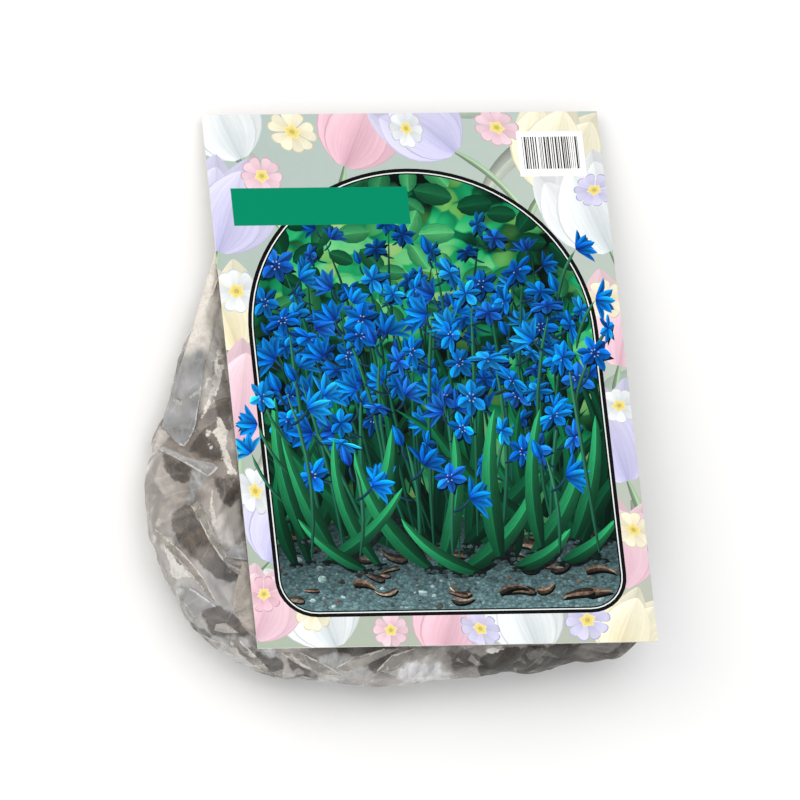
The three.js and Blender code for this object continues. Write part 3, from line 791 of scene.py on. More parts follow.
def build_folds(mats, bag):
    co, _ = mesh_arrays(bag.data)
    tree = BVHTree.FromPolygons([tuple(v) for v in co], [tuple(q.vertices) for q in bag.data.polygons])
    all_v, all_f, look = [], [], [[] for _ in FIELDS]
    for n_fold, (outline, haze, white, cool, highlight_line, lift) in enumerate(FOLDS):
        g = np.random.default_rng(60 + n_fold)
        out = np.array(outline, float)
        ring = []
        for a, b in zip(out, np.roll(out, -1, 0)):          # a finer border, very slightly uneven
            k = max(1, int(np.hypot(*(b - a)) / 1.6))
            for t in range(k):
                ring.append(a + (b - a) * t / k + g.normal(0, 0.06, 2))
        ring = np.array(ring)
        turn = 0.5 * np.sum(ring[:, 0] * np.roll(ring[:, 1], -1) - np.roll(ring[:, 0], -1) * ring[:, 1])
        if turn < 0:
            ring = ring[::-1].copy()
        tn = np.roll(ring, -2, 0) - np.roll(ring, 2, 0)
        tn /= np.linalg.norm(tn, axis=1)[:, None] + 1e-9
        inset = [ring + np.stack([-tn[:, 1], tn[:, 0]], 1) * q for q in (0.7, 1.6)]
        lo, hi = ring.min(0), ring.max(0)
        gx, gy = np.meshgrid(np.arange(lo[0], hi[0], 1.9), np.arange(lo[1], hi[1], 1.9))
        pts = np.stack([gx.ravel(), gy.ravel()], 1) + g.uniform(-0.3, 0.3, (gx.size, 2))
        keep = inside(pts, ring, 0.01) > 0.9
        edge = np.full(len(pts), 1e9)
        for q in ring:
            edge = np.minimum(edge, np.hypot(pts[:, 0] - q[0], pts[:, 1] - q[1]))
        pts = pts[keep & (edge > 2.4)]
        for q_, rows in zip((0.7, 1.6), inset):
            dq = near_line(rows, [tuple(v) for v in ring] + [tuple(ring[0])])
            rows = rows[(inside(rows, ring, 0.01) > 0.9) & (dq > q_ * 0.8)]
            pts = np.vstack([rows, pts])
        verts = [tuple(p) for p in ring]
        faces_in = [tuple(range(len(ring)))]
        if n_fold == 0:                                      # the vent hole
            pts = pts[np.hypot(pts[:, 0] - VENT_PX[0], pts[:, 1] - VENT_PX[1]) > VENT_R_PX + 1.6]
            for r_ in (VENT_R_PX, VENT_R_PX + 0.9):
                for t in range(20):
                    verts.append((VENT_PX[0] + r_ * math.cos(t * math.pi / 10), VENT_PX[1] + r_ * 0.8 * math.sin(t * math.pi / 10)))
        verts += [tuple(p) for p in pts]
        vo, _, fo, _, _, _ = delaunay_2d_cdt([Vector(v) for v in verts], [], faces_in, 1, 1e-4, False)
        P = np.array([(v[0], v[1]) for v in vo])
        tri = [tuple(f) for f in fo if max(np.hypot(*(P[f[k]] - P[f[k - 1]])) for k in range(3)) < 6.5]     # no slivers along the border
        if n_fold == 0:
            c = np.array([P[list(f)].mean(0) for f in tri])
            tri = [f for f, m in zip(tri, np.hypot(c[:, 0] - VENT_PX[0], (c[:, 1] - VENT_PX[1]) / 0.8)) if m > VENT_R_PX - 0.25]
        used = sorted({i for f in tri for i in f})
        back = {i: k for k, i in enumerate(used)}
        P = P[used]
        tri = [tuple(back[i] for i in f) for f in tri]
        # depth along the view, over the film; the fold bridges small hollows
        depth = np.full(len(P), np.nan)
        dirs = []
        for i, (px_, py_) in enumerate(P):
            o, d = ray_through(px_, py_)
            dirs.append(d)
            hit = tree.ray_cast(o, d)
            if hit[0] is not None and hit[0].z > 0.0004:
                depth[i] = hit[3]
        nb = [set() for _ in P]
        for f in tri:
            for a, b in ((0, 1), (1, 2), (2, 0)):
                nb[f[a]].add(f[b])
                nb[f[b]].add(f[a])
        nb = [list(s_) for s_ in nb]
        hit_ = np.where(~np.isnan(depth))[0]                 # past the bag's outline it runs on level
        zs = CAM_POS[2] + np.array(dirs)[:, 2] * depth
        for i in np.where(np.isnan(depth))[0]:
            far_ = np.hypot(P[hit_, 0] - P[i, 0], P[hit_, 1] - P[i, 1])
            close = np.argsort(far_)[:8]
            w_ = 1 / (far_[close] + 1.0)
            z_ = (zs[hit_[close]] * w_).sum() / w_.sum() - 0.00035 * far_[close[0]]
            depth[i] = (max(z_, 0.0012) - CAM_POS[2]) / dirs[i][2]
        for _ in range(3):                                   # no lone spikes
            for i, n_ in enumerate(nb):
                mid_ = np.median(depth[n_])
                if abs(depth[i] - mid_) > 0.0022:
                    depth[i] = mid_
        limit = depth - lift * MM
        depth = limit.copy()
        d_edge = near_line(P, [tuple(q) for q in ring] + [tuple(ring[0])])
        proud = (0.25 + 1.35 * np.clip(d_edge / 9.0, 0, 1)) * MM      # how far it may stand off the film
        for _ in range(30):
            new = np.array([depth[n_].mean() for n_ in nb])
            depth = np.maximum(np.minimum(limit, depth * 0.35 + new * 0.65), limit - proud)
        depth = depth + np.clip(1 - d_edge / 2.2, 0, 1) * (lift * 0.55) * MM      # the border turns down to the film
        depth = np.minimum(depth, limit + lift * 0.75 * MM)
        for _ in range(3):
            depth = np.array([0.4 * depth[i] + 0.6 * depth[n_].mean() for i, n_ in enumerate(nb)])
        top = np.array([np.array(CAM_POS) + np.array(d) * t for d, t in zip(dirs, depth)])
        low = np.array([np.array(CAM_POS) + np.array(d) * (t + 0.00014) for d, t in zip(dirs, depth)])
        n0, m = len(all_v), len(P)
        all_v += [tuple(v) for v in top] + [tuple(v) for v in low]
        count = {}
        for f in tri:
            a, b, c = P[f[0]], P[f[1]], P[f[2]]
            if (b[0] - a[0]) * (c[1] - a[1]) - (b[1] - a[1]) * (c[0] - a[0]) > 0:      # image y runs down
                f = (f[0], f[2], f[1])
            all_f.append(tuple(n0 + i for i in f))
            all_f.append(tuple(n0 + m + i for i in f[::-1]))
            for a, b in ((f[0], f[1]), (f[1], f[2]), (f[2], f[0])):
                count[(a, b)] = 1
        for a, b in list(count):
            if (b, a) not in count:
                all_f.append((n0 + b, n0 + a, n0 + m + a, n0 + m + b))
        h = np.full(m, haze)
        c_ = np.full(m, cool)
        steep = np.zeros(m)
        hits = np.zeros(m)
        for f in tri:
            e1, e2 = top[f[1]] - top[f[0]], top[f[2]] - top[f[0]]
            v = np.cross(e1, e2)
            v = abs(v[2]) / (np.linalg.norm(v) + 1e-15)
            for i in f:
                steep[i] += v
                hits[i] += 1
        flat_ = np.clip((steep / np.maximum(hits, 1) - 0.22) / 0.25, 0, 1)
        highlight_amp = np.full(m, 0.72)
        # painted highlight along the fold's edge line
        w = 1.25 - near_line(P, highlight_line)
        if white:
            highlight_amp = np.full(m, white * 3)
        if n_fold == 0:
            jag = rough_px(P, 31, 30.0, 5.0)                 # painted cream highlight above, fading into the bluish flap
            cream = 374 - jag[:, 1] + 0.5 * (jag[:, 0] - 202)
            fade = np.clip(cream / 38, 0, 1)
            fade = fade * fade * (3 - 2 * fade)
            highlight_amp = np.where(cream > w, 0.97 * fade, highlight_amp)
            h = h + (0.80 - h) * fade
            w = np.maximum(w, cream)
            c_ = c_ * (1 - 0.85 * fade)
            under, fold_shade_factor = np.full(m, 9.0), 0.70 + 0.30 * fade      # painted shade: what shows through the flap is darkened
            h = (h + 0.09 * (1 - fade)) / (0.38 - 0.26 * (1 - fold_shade_factor))
            mott = (rough_px(P, 71, 34.0, 1.0) - P)[:, 0] * (1 - fade)
            h, fold_shade_factor = h * np.clip(1 + 0.08 * mott, 0.7, 1.3), np.clip(fold_shade_factor + 0.02 * mott, 0.6, 1)
            # painted highlight lines across the flap
            band = 1.5 - near_line(P, [(190, 397), (196, 393), (203, 391)])
            band = np.maximum(band, 1.1 - near_line(P, [(188, 346), (196, 351), (204, 357)]))
            highlight_amp = np.where(band > w, 0.55, highlight_amp)
            w = np.maximum(w, band)
            # painted highlight round the vent hole's rim
            vent_rim_highlight = 0.9 - np.abs(np.hypot(P[:, 0] - VENT_PX[0], (P[:, 1] - VENT_PX[1]) / 0.8) - VENT_R_PX)
            w = np.maximum(w, vent_rim_highlight)
            flat_ = np.where(cream > 0, np.maximum(flat_, 0.8), flat_)
        w = np.where(flat_ > 0.3, w, -5.0)
        h = h * (0.45 + 0.55 * flat_)
        if n_fold == 5:                                      # its corner is whiter, fading out over about 11 px
            near = 11.0 - np.hypot(P[:, 0] - 179, (P[:, 1] - 591) * 1.15)
            highlight_amp = np.where(near > w, np.clip(near / 11.0, 0, 1) * 0.8, highlight_amp)
            w = np.maximum(w, near)
        none = np.full(m, -9.0)
        if n_fold:
            under, fold_shade_factor = none, np.full(m, 0.8)
        for arr, v in zip(look, (h, c_, np.clip(w, -9, 9), highlight_amp, under, fold_shade_factor, none, np.full(m, 0.6), np.zeros(m))):
            arr += list(v) + list(v)
    ob = add_mesh("film_folds_look", all_v, all_f, mats)
    for name, values in zip(FIELDS, look):
        ob.data.attributes.new(name, "FLOAT", "POINT").data.foreach_set("value", np.array(values, np.float32))
    print("folds", len(all_f), "faces")
    return ob


# ------------------------------------------------------------------ bulbs
PROFILE_H = np.array([0, 0.012, 0.035, 0.085, 0.15, 0.22, 0.31, 0.40, 0.49, 0.57, 0.65, 0.72, 0.78, 0.84, 0.885, 0.93, 0.965, 1.0])
PROFILE_R = np.array([0.20, 0.27, 0.38, 0.64, 0.83, 0.93, 0.985, 1.0, 0.985, 0.93, 0.835, 0.71, 0.57, 0.42, 0.305, 0.20, 0.135, 0.06])


def value_noise(seed, n_lat, n_lon):
    """Smooth periodic field over angle, smooth over height."""
    g = np.random.default_rng(seed)
    return g.normal(size=(n_lat, n_lon))


def sample_field(f, hv, av):
    """Bicubic-like smooth sampling of f at heights 0..1 and angles 0..1 (periodic)."""
    nl, na = f.shape
    y = hv * (nl - 1)
    x = (av % 1.0) * na
    y0 = np.clip(np.floor(y).astype(int), 0, nl - 2)
    x0 = np.floor(x).astype(int)
    fy, fx = y - y0, x - x0
    fy, fx = fy * fy * (3 - 2 * fy), fx * fx * (3 - 2 * fx)
    a, b = f[y0, x0 % na], f[y0, (x0 + 1) % na]
    c, d = f[y0 + 1, x0 % na], f[y0 + 1, (x0 + 1) % na]
    return (a * (1 - fx) + b * fx) * (1 - fy) + (c * (1 - fx) + d * fx) * fy


def bulb_mesh(index, spec, mats):
    R, H, squash, lean, lean_to = spec[7:12]
    g = np.random.default_rng(900 + index)
    NA, NH = 44, 30
    lump = value_noise(index * 7 + 1, 4, 5)
    ribs = value_noise(index * 7 + 2, 3, 26)
    fine = value_noise(index * 7 + 3, 9, 40)
    verts, faces, mat_ids = [], [], []

    def surface(h, a, off=0.0):
        """Point of the bulb's skin at height share h and angle a (turns)."""
        r = np.interp(h, PROFILE_H, PROFILE_R) * R
        body = np.clip(np.sin(np.clip(h, 0, 1) * math.pi), 0, 1)
        r = r + body * (0.42 * sample_field(lump, h, a) + 0.16 * sample_field(ribs, h, a)) + (0.3 + body) * 0.05 * sample_field(fine, h, a)
        r = np.minimum(r, R * 1.035) + off
        bend = lean * np.maximum(0, (h - 0.5) / 0.5) ** 2
        x = r * np.cos(a * 2 * math.pi) * squash + bend * math.cos(lean_to)
        y = r * np.sin(a * 2 * math.pi) / squash + bend * math.sin(lean_to)
        return np.stack([x, y, (h - 0.45) * H], -1)

    t = np.linspace(0, 1, NH + 1)
    hs = 0.5 - 0.5 * np.cos(t * math.pi)
    hs = 0.6 * hs + 0.4 * t
    ang = np.arange(NA) / NA
    for h in hs:
        ring = surface(np.full(NA, h), ang)
        if h > 0.985:   # frayed dry tip
            ring[:, 2] += g.uniform(-0.5, 0.15, NA)
        verts += ring.tolist()
    for i in range(NH):
        for j in range(NA):
            k = (j + 1) % NA
            faces.append((i * NA + j, i * NA + k, (i + 1) * NA + k, (i + 1) * NA + j))
            mat_ids.append(1 if hs[i] < 0.03 else 0)
    # basal plate: rings that step inwards with a rough rim, then a centre
    base = len(verts)
    rim = surface(np.zeros(NA), ang)
    prev_ring = list(range(NA))
    for q, (shrink, dz) in enumerate(((0.86, -0.35), (0.62, -0.55), (0.3, -0.25))):
        ring = rim.copy()
        ring[:, :2] *= shrink
        ring[:, 2] += dz * 0.5 + g.uniform(-0.22, 0.12, NA) * (1 if q < 2 else 0.3) + 0.25
        start = len(verts)
        verts += ring.tolist()
        cur = list(range(start, start + NA))
        for j in range(NA):
            k = (j + 1) % NA
            faces.append((prev_ring[k], prev_ring[j], cur[j], cur[k]))
            mat_ids.append(1)
        prev_ring = cur
    verts.append([0, 0, rim[0, 2] + 0.1])
    for j in range(NA):
        faces.append((prev_ring[(j + 1) % NA], prev_ring[j], len(verts) - 1))
        mat_ids.append(1)
    # tip closed by a small fan
    top = [NH * NA + j for j in range(NA)]
    tip = np.mean([verts[i] for i in top], axis=0)
    verts.append([tip[0], tip[1], tip[2] - 0.3])
    for j in range(NA):
        faces.append((top[j], top[(j + 1) % NA], len(verts) - 1))
        mat_ids.append(0)
    # dry root stubs on the rim of the basal plate
    for _ in range(int(g.integers(9, 16))):
        a = g.uniform(0, 1)
        rr = R * g.uniform(0.10, 0.26)
        p = np.array([rr * math.cos(a * 2 * math.pi), rr * math.sin(a * 2 * math.pi), -0.45 * H + 0.35])
        d = np.array([math.cos(a * 2 * math.pi) * g.uniform(0.2, 0.9), math.sin(a * 2 * math.pi) * g.uniform(0.2, 0.9), -g.uniform(0.25, 0.7)])
        L = g.uniform(0.5, 1.3)
        side = np.cross(d, [0, 0, 1.0])
        side /= np.linalg.norm(side) + 1e-9
        up = np.cross(side, d)
        up /= np.linalg.norm(up) + 1e-9
        s0 = len(verts)
        rad0 = g.uniform(0.16, 0.3)
        for q in range(4):
            f = q / 3
            c = p + d * L * f + side * math.sin(f * 3) * 0.2
            for w in range(4):
                th = w * math.pi / 2
                verts.append((c + (side * math.cos(th) + up * math.sin(th)) * rad0 * (1 - 0.7 * f)).tolist())
        for q in range(3):
            for w in range(4):
                a0, a1 = s0 + q * 4 + w, s0 + q * 4 + (w + 1) % 4
                faces.append((a0, a1, a1 + 4, a0 + 4))
                mat_ids.append(1)
        faces.append((s0 + 12, s0 + 13, s0 + 14, s0 + 15))
        mat_ids.append(1)
        faces.append((s0 + 3, s0 + 2, s0 + 1, s0))
        mat_ids.append(1)
    # loose papery skin: thin closed scales with ragged edges, standing off the tunic
    for _ in range(int(g.integers(3, 6))):
        a0, wd = g.uniform(0, 1), g.uniform(0.10, 0.24)
        h0 = g.uniform(0.16, 0.42)
        h1 = min(h0 + g.uniform(0.25, 0.45), 0.94)
        nu, nv = 10, 9
        uu, vv = np.meshgrid(np.linspace(0, 1, nu), np.linspace(0, 1, nv))
        rag = g.uniform(-0.04, 0.04, nu)[None, :] * (vv > 0.9) + g.uniform(-0.02, 0.02, nv)[:, None] * ((uu < 0.05) | (uu > 0.95))
        taper = 1 - 0.45 * vv
        aa = a0 + (uu - 0.5) * wd * taper + rag * 0.4
        hh = h0 + (h1 - h0) * vv + rag
        lift = 0.10 + 0.34 * np.clip(vv - 0.35, 0, 1) ** 1.5 + 0.18 * (np.abs(uu - 0.5) * 2) ** 3
        outer = surface(hh.ravel(), aa.ravel(), (lift + 0.07).ravel())
        inner = surface(hh.ravel(), aa.ravel(), (lift - 0.03).ravel())
        s0 = len(verts)
        verts += outer.tolist() + inner.tolist()
        off = nu * nv
        for i in range(nv - 1):
            for j in range(nu - 1):
                q = s0 + i * nu + j
                faces.append((q, q + 1, q + nu + 1, q + nu))
                faces.append((q + off, q + off + nu, q + off + nu + 1, q + off + 1))
                mat_ids += [2, 2]
        border = [(0, j, 0, j + 1) for j in range(nu - 1)] + [(i, nu - 1, i + 1, nu - 1) for i in range(nv - 1)]
        border += [(nv - 1, j + 1, nv - 1, j) for j in range(nu - 1)] + [(i + 1, 0, i, 0) for i in range(nv - 1)]
        for i0, j0, i1, j1 in border:
            a_, b_ = s0 + i0 * nu + j0, s0 + i1 * nu + j1
            faces.append((b_, a_, a_ + off, b_ + off))
            mat_ids.append(2)
    local = np.array(verts)
    placed = world(local @ qmat(spec[3:7]).T + np.array(spec[:3]))
    ob = add_mesh("bulb_%02d_look" % (index + 1), placed, faces, mats, True, mat_ids)
    own = ob.data.attributes.new("local", "FLOAT_VECTOR", "POINT")
    own.data.foreach_set("vector", (local * MM).astype(np.float32).ravel())
    return ob


# ------------------------------------------------------------------ card: the printed design
# Shapes are drawn in card millimetres from back to front, then cut into one flat mesh.
# Kinds for the material: 0 plain, 1 leaf, 2 petal, 3 soil, 4 pastel petal, 5 pale ground, 6 shade, 7 far foliage
ARCH = []
for _a in np.linspace(0, math.pi, 49):
    ARCH.append((72 * math.cos(_a), 20 + 72 * math.sin(_a)))
for _cx, _cy, _a0 in ((-58, -90, math.pi), (58, -90, 1.5 * math.pi)):
    for _a in np.linspace(_a0, _a0 + math.pi / 2, 9):
        ARCH.append((_cx + 14 * math.cos(_a), _cy + 14 * math.sin(_a)))
ARCH = np.array(ARCH)


def grow_arch(d):
    """The arch line moved outwards by d."""
    out = []
    for x, y in ARCH:
        if y >= 20:
            c = np.array([0, 20.0])
        elif x < -57.9 and y <= -89.9 or x < 0 and y < -90:
            c = np.array([-58, -90.0])
        elif x > 57.9 and y <= -89.9 or x > 0 and y < -90:
            c = np.array([58, -90.0])
        else:
            c = np.array([0, y])
        v = np.array([x, y]) - c
        out.append(np.array([x, y]) + v / (np.linalg.norm(v) + 1e-9) * d)
    return np.array(out)


class Print:
    def __init__(self, seed):
        self.shapes = []
        self.g = np.random.default_rng(seed)
        self.window = None

    def add(self, pts, cols, st=None, kind=0, clip=False):
        pts = np.asarray(pts, float)
        n = len(pts)
        cols = np.asarray(cols, float)
        if cols.ndim == 1:
            cols = np.tile(cols, (n, 1))
        st = np.zeros((n, 2)) if st is None else np.asarray(st, float)
        area = 0.5 * np.sum(pts[:, 0] * np.roll(pts[:, 1], -1) - np.roll(pts[:, 0], -1) * pts[:, 1])
        if area < 0:
            pts, cols, st = pts[::-1], cols[::-1], st[::-1]
        if abs(area) < 0.02:
            return
        self.shapes.append((pts, np.clip(cols, 0, 255), st, kind, clip))

    # -- a strap leaf along a curve, in two halves so that the fold in its middle shows
    def leaf(self, base, tip, bend, width, dark, light, clip=True, kind=1, n=9, fold=0.5, shift=0.0, phase=None, taper=0.75, foot=0.45):
        base, tip = np.asarray(base, float), np.asarray(tip, float)
        d = tip - base
        L = np.linalg.norm(d)
        side = np.array([-d[1], d[0]]) / L
        t = np.linspace(0, 1, n)
        mid = base + d * t[:, None] + side * (bend * L * (4 * t * (1 - t)) + shift * L * np.sin(t * math.pi * 2) * 0.15)[:, None]
        tang = np.gradient(mid, axis=0)
        tang /= np.linalg.norm(tang, axis=1)[:, None] + 1e-9
        nor = np.stack([-tang[:, 1], tang[:, 0]], 1)
        w = width * np.minimum(1, (t * 3.0 + foot)) * np.power(np.clip(1 - t, 0, 1), taper) ** 0.62
        w[-1] = 0.0
        ph = self.g.uniform(0, 9) if phase is None else phase
        dark, light = np.array(dark, float), np.array(light, float)
        tone = dark + (light - dark) * np.clip(0.15 + 0.95 * t, 0, 1)[:, None]
        for s, k in ((1, 1.0 + 0.28 * fold), (-1, 1.0 - 0.28 * fold)):
            edge = mid + nor * (w * 0.5 * s)[:, None]
            pts = np.vstack([mid, edge[:-1][::-1]])
            cm = tone * k
            ce = tone * (k * (0.86 if s > 0 else 0.74))
            cols = np.vstack([cm, ce[:-1][::-1]])
            st = np.vstack([np.stack([np.zeros(n), t * L], 1), np.stack([np.full(n - 1, s * 1.0), t[:-1] * L], 1)[::-1]])
            st[:, 1] += ph
            self.add(pts, cols, st, kind, clip)

    # -- one petal along a curve, two halves; xf maps flower coordinates to the card
    def petal(self, mids, wid, base, mid, tip, shade, clip, xf, light_dir, rib=0.5, kind=2):
        g = self.g
        n = len(mids)
        tang = np.gradient(mids, axis=0)
        tang /= np.linalg.norm(tang, axis=1)[:, None] + 1e-9
        nor = np.stack([-tang[:, 1], tang[:, 0]], 1)
        t = np.linspace(0, 1, n)[:, None]
        ph = g.uniform(0, 60)
        mean = tang.mean(0)
        for s in (1, -1):
            edge = mids + nor * (wid * s)[:, None]
            side = np.array([-mean[1], mean[0]]) * s
            k = shade * (0.94 + 0.26 * float(np.dot(side, light_dir)))
            body = np.where(t < 0.45, base + (mid - base) * (t / 0.45), mid + (tip - mid) * ((t - 0.45) / 0.55))
            cm = body * k * (1 - rib * 0.34 * np.sin(np.clip(t * 1.25, 0, 1) * math.pi))
            ce = body * k * (1.0 + 0.16 * np.sin(t * math.pi)) + 5 * shade
            P = np.vstack([mids, edge[1:-1][::-1]])
            cols = np.vstack([cm, ce[1:-1][::-1]])
            st = np.vstack([np.stack([np.zeros(n), t[:, 0]], 1), np.stack([np.full(n - 2, s * 1.0), t[1:-1, 0]], 1)[::-1]])
            st[:, 1] = st[:, 1] * 8 + ph
            self.add(xf(P), cols, st, kind, clip)

    # -- a six-petalled star flower seen at a slant
    def star(self, c, size, spin, lean_dir, squash, tone, shade, clip=False, light_dir=(-0.6, 0.8)):
        g = self.g
        c = np.asarray(c, float)
        ld = np.array([math.cos(lean_dir), math.sin(lean_dir)])
        lp = np.array([-ld[1], ld[0]])
        deep, mid, pale = np.array(tone[0], float), np.array(tone[1], float), np.array(tone[2], float)
        T = np.array([0.03, 0.2, 0.42, 0.64, 0.84, 1.0])
        W = np.array([0.03, 0.13, 0.235, 0.262, 0.175, 0.0])

        def xf(P):
            along = P @ ld
            return c + size * 0.5 * (ld * (along * squash - 0.16 * (1 - squash) * np.sum(P**2, 1))[:, None] + lp * (P @ lp)[:, None])

        if size > 10.5:                                   # its shade on what lies behind
            a = np.arange(12) * math.pi / 6 + spin
            r = np.where(np.arange(12) % 2 == 0, 1.0, 0.52)
            P = np.stack([np.cos(a) * r, np.sin(a) * r], 1)
            self.add(xf(P) + (0.55, -0.95), np.array([2, 18, 40.0]) * (0.5 + 0.5 * shade), None, 6, clip)
        for q, k in enumerate([0, 2, 4, 1, 3, 5]):
            a = spin + k * math.pi / 3 + g.uniform(-0.13, 0.13)
            ln = g.uniform(0.88, 1.06) * (1.0 if k % 2 else 1.05)
            wd = g.uniform(0.86, 1.12) * (1.10 if k % 2 else 0.92)
            ax = np.array([math.cos(a), math.sin(a)])
            ay = np.array([-ax[1], ax[0]])
            curl = g.uniform(-0.16, 0.16)
            mids = ax * (T * ln)[:, None] + ay * (curl * T**2)[:, None]
            u = g.uniform(0, 1)
            up = float(np.dot(ax, ld)) * (1 - squash)      # petals that point away from the eye are darker
            k1 = shade * (1.06 if k % 2 else 0.80) * (0.86 + 0.26 * u) * (1 + 0.22 * up)
            body = mid * (1 - 0.45 * u) + pale * 0.45 * u
            self.petal(mids, W * wd, deep * 0.7 + body * 0.3, body, body * 0.55 + deep * 0.2 + pale * 0.35, k1, clip, xf, light_dir)
        # small throat with stamens
        a = np.arange(6) * math.pi / 3 + spin
        ring = np.stack([np.cos(a), np.sin(a)], 1) * 0.10
        self.add(xf(ring), (deep * 0.5 + np.array([30, 60, 90.0]) * 0.5) * (0.6 + 0.4 * shade), None, 0, clip)
        if size > 15:
            for k in range(6):
                a = spin + 0.5 + k * math.pi / 3 + g.uniform(-0.15, 0.15)
                r = g.uniform(0.13, 0.2)
                p = np.array([math.cos(a), math.sin(a)]) * r
                q = np.array([math.cos(a), math.sin(a)]) * (r + 0.085)
                v = np.array([-math.sin(a), math.cos(a)]) * 0.03
                self.add(xf(np.array([p - v, q - v, q + v, p + v])), np.array([168, 190, 214.0]) * (0.55 + 0.4 * shade), None, 0, clip)

    # -- a half-open flower seen from the side; ang is the way it opens
    def cup(self, c, size, ang, tone, shade, clip=False, light_dir=(-0.6, 0.8)):
        g = self.g
        c = np.asarray(c, float)
        deep, mid, pale = np.array(tone[0], float), np.array(tone[1], float), np.array(tone[2], float)
        d = np.array([math.cos(ang), math.sin(ang)])
        n = np.array([-d[1], d[0]])
        T = np.array([0.0, 0.2, 0.42, 0.64, 0.84, 1.0])
        W = np.array([0.05, 0.15, 0.20, 0.19, 0.12, 0.0])

        def xf(P):
            return c + size * 0.62 * (d * P[:, :1] + n * P[:, 1:2])

        fan = g.uniform(0.85, 1.2)
        for off, k0, far in ((-0.28, 0.58, 1), (0.30, 0.6, 1), (0.78, 0.84, 0), (-0.80, 0.9, 0), (0.05, 0.66, 1), (-0.42, 1.0, 0), (0.40, 0.94, 0), (0.0, 1.08, 0)):
            a = off * fan + g.uniform(-0.06, 0.06)
            ln = g.uniform(0.86, 1.04) * (1.0 if not far else 0.92)
            ax = np.array([math.cos(a), math.sin(a)])
            ay = np.array([-ax[1], ax[0]])
            mids = ax * (T * ln)[:, None] + ay * (off * 0.42 * T**2.2)[:, None]
            u = g.uniform(0, 1)
            body = mid * (1 - 0.4 * u) + pale * 0.4 * u
            self.petal(mids, W * (0.62 if abs(off) > 0.6 else 0.9), deep, body, body * 0.6 + pale * 0.4, shade * k0, clip, xf, light_dir, 0.8)

    def bud(self, base, direction, size, tone, shade, clip=False):
        d = np.array([math.cos(direction), math.sin(direction)])
        n = np.array([-d[1], d[0]])
        T = np.linspace(0, 1, 6)
        W = np.array([0.07, 0.19, 0.24, 0.20, 0.11, 0.0])
        mid, deep, pale = np.array(tone[1], float), np.array(tone[0], float), np.array(tone[2], float)
        c = np.asarray(base, float)

        def xf(P):
            return c + size * (d * P[:, :1] + n * P[:, 1:2])

        for off, k in ((0.05, 0.7), (-0.05, 0.95)):
            mids = np.stack([T, off * np.sin(T * math.pi)], 1)
            self.petal(mids, W * 0.8, deep, mid, pale * 0.4 + mid * 0.6, shade * k, clip, xf, (-0.6, 0.8), 0.9)

    def stem(self, a, b, bend, width, dark, light, clip=True):
        self.leaf(a, b, bend, width, dark, light, clip, kind=1, n=6, fold=0.7, taper=0.06)

    def crumb(self, c, r, col, kind=3, clip=True, n=6, flat=1.0, ang=None):
        g = self.g
        th = np.arange(n) * 2 * math.pi / n + g.uniform(0, 1)
        rr = r * g.uniform(0.72, 1.15, n)
        a = g.uniform(0, math.pi) if ang is None else ang
        P = np.stack([np.cos(th) * rr, np.sin(th) * rr * flat], 1)
        R = np.array([[math.cos(a), -math.sin(a)], [math.sin(a), math.cos(a)]])
        P = P @ R.T
        lit = (P @ np.array([-0.55, 0.83])) / (r + 1e-9)
        cols = np.array(col, float)[None] * (1 + 0.34 * lit[:, None])
        self.add(np.asarray(c) + P, cols, None, kind, clip)

    # -- washed-out tulip for the border
    def tulip(self, c, size, ang, cols, stem_len=0.0):
        g = self.g
        hi, lo = np.array(cols[0], float), np.array(cols[1], float)
        A = np.array([math.cos(ang), math.sin(ang)])
        B = np.array([-A[1], A[0]])
        c = np.asarray(c, float)
        T = 0.5 - 0.5 * np.cos(np.linspace(0, math.pi, 13))
        W = np.interp(T, [0.0, 0.04, 0.12, 0.25, 0.4, 0.55, 0.7, 0.82, 0.92, 0.97, 1.0], [0.10, 0.19, 0.30, 0.395, 0.43, 0.42, 0.345, 0.245, 0.13, 0.07, 0.0])
        W = np.convolve(np.pad(W, 1, mode="edge"), [0.2, 0.6, 0.2], "valid")
        W[-1] = 0.0

        def petal(off, ln, wd, lean, k, ruffle=0.012):
            wob = 1 + ruffle * np.sin(T * g.uniform(9, 15) + g.uniform(0, 6))
            mids = c + A * (T * ln * size)[:, None] + B * ((off * (T**0.7) + lean * T**2) * size)[:, None]
            for s in (1, -1):
                edge = mids + B * (W * wob * wd * size * s)[:, None]
                P = np.vstack([mids, edge[:-1][::-1]])
                tt = np.clip(T * 1.1, 0, 1)[:, None]
                base = lo * (1 - tt) + hi * tt
                cm = base * (k * (0.965 if s > 0 else 0.93))
                ce = (base * 0.35 + hi * 0.65) * (k * (1.02 if s > 0 else 0.95)) + 3
                st = np.vstack([np.stack([np.zeros(13), T * 10], 1), np.stack([np.full(12, s * 1.0), T[:-1] * 10], 1)[::-1]])
                st[:, 1] += g.uniform(0, 50)
                self.add(P, np.vstack([cm, ce[:-1][::-1]]), st, 4, False)

        def shade(off, ln, wd, lean, k):
            """A soft dark rim where one petal lies over the next."""
            for grow, kk in ((1.06, 0.95),):
                mids = c + A * (T * ln * size * (0.99 + 0.02 * (grow > 1.05)))[:, None] + B * ((off * (T**0.7) + lean * T**2) * size)[:, None]
                P = np.vstack([mids + B * (W * wd * grow * size)[:, None], (mids - B * (W * wd * grow * size)[:, None])[::-1]])
                tt = np.clip(np.concatenate([T, T[::-1]]) * 1.1, 0, 1)[:, None]
                self.add(P, (lo * (1 - tt) + hi * tt) * k * kk, None, 5, False)

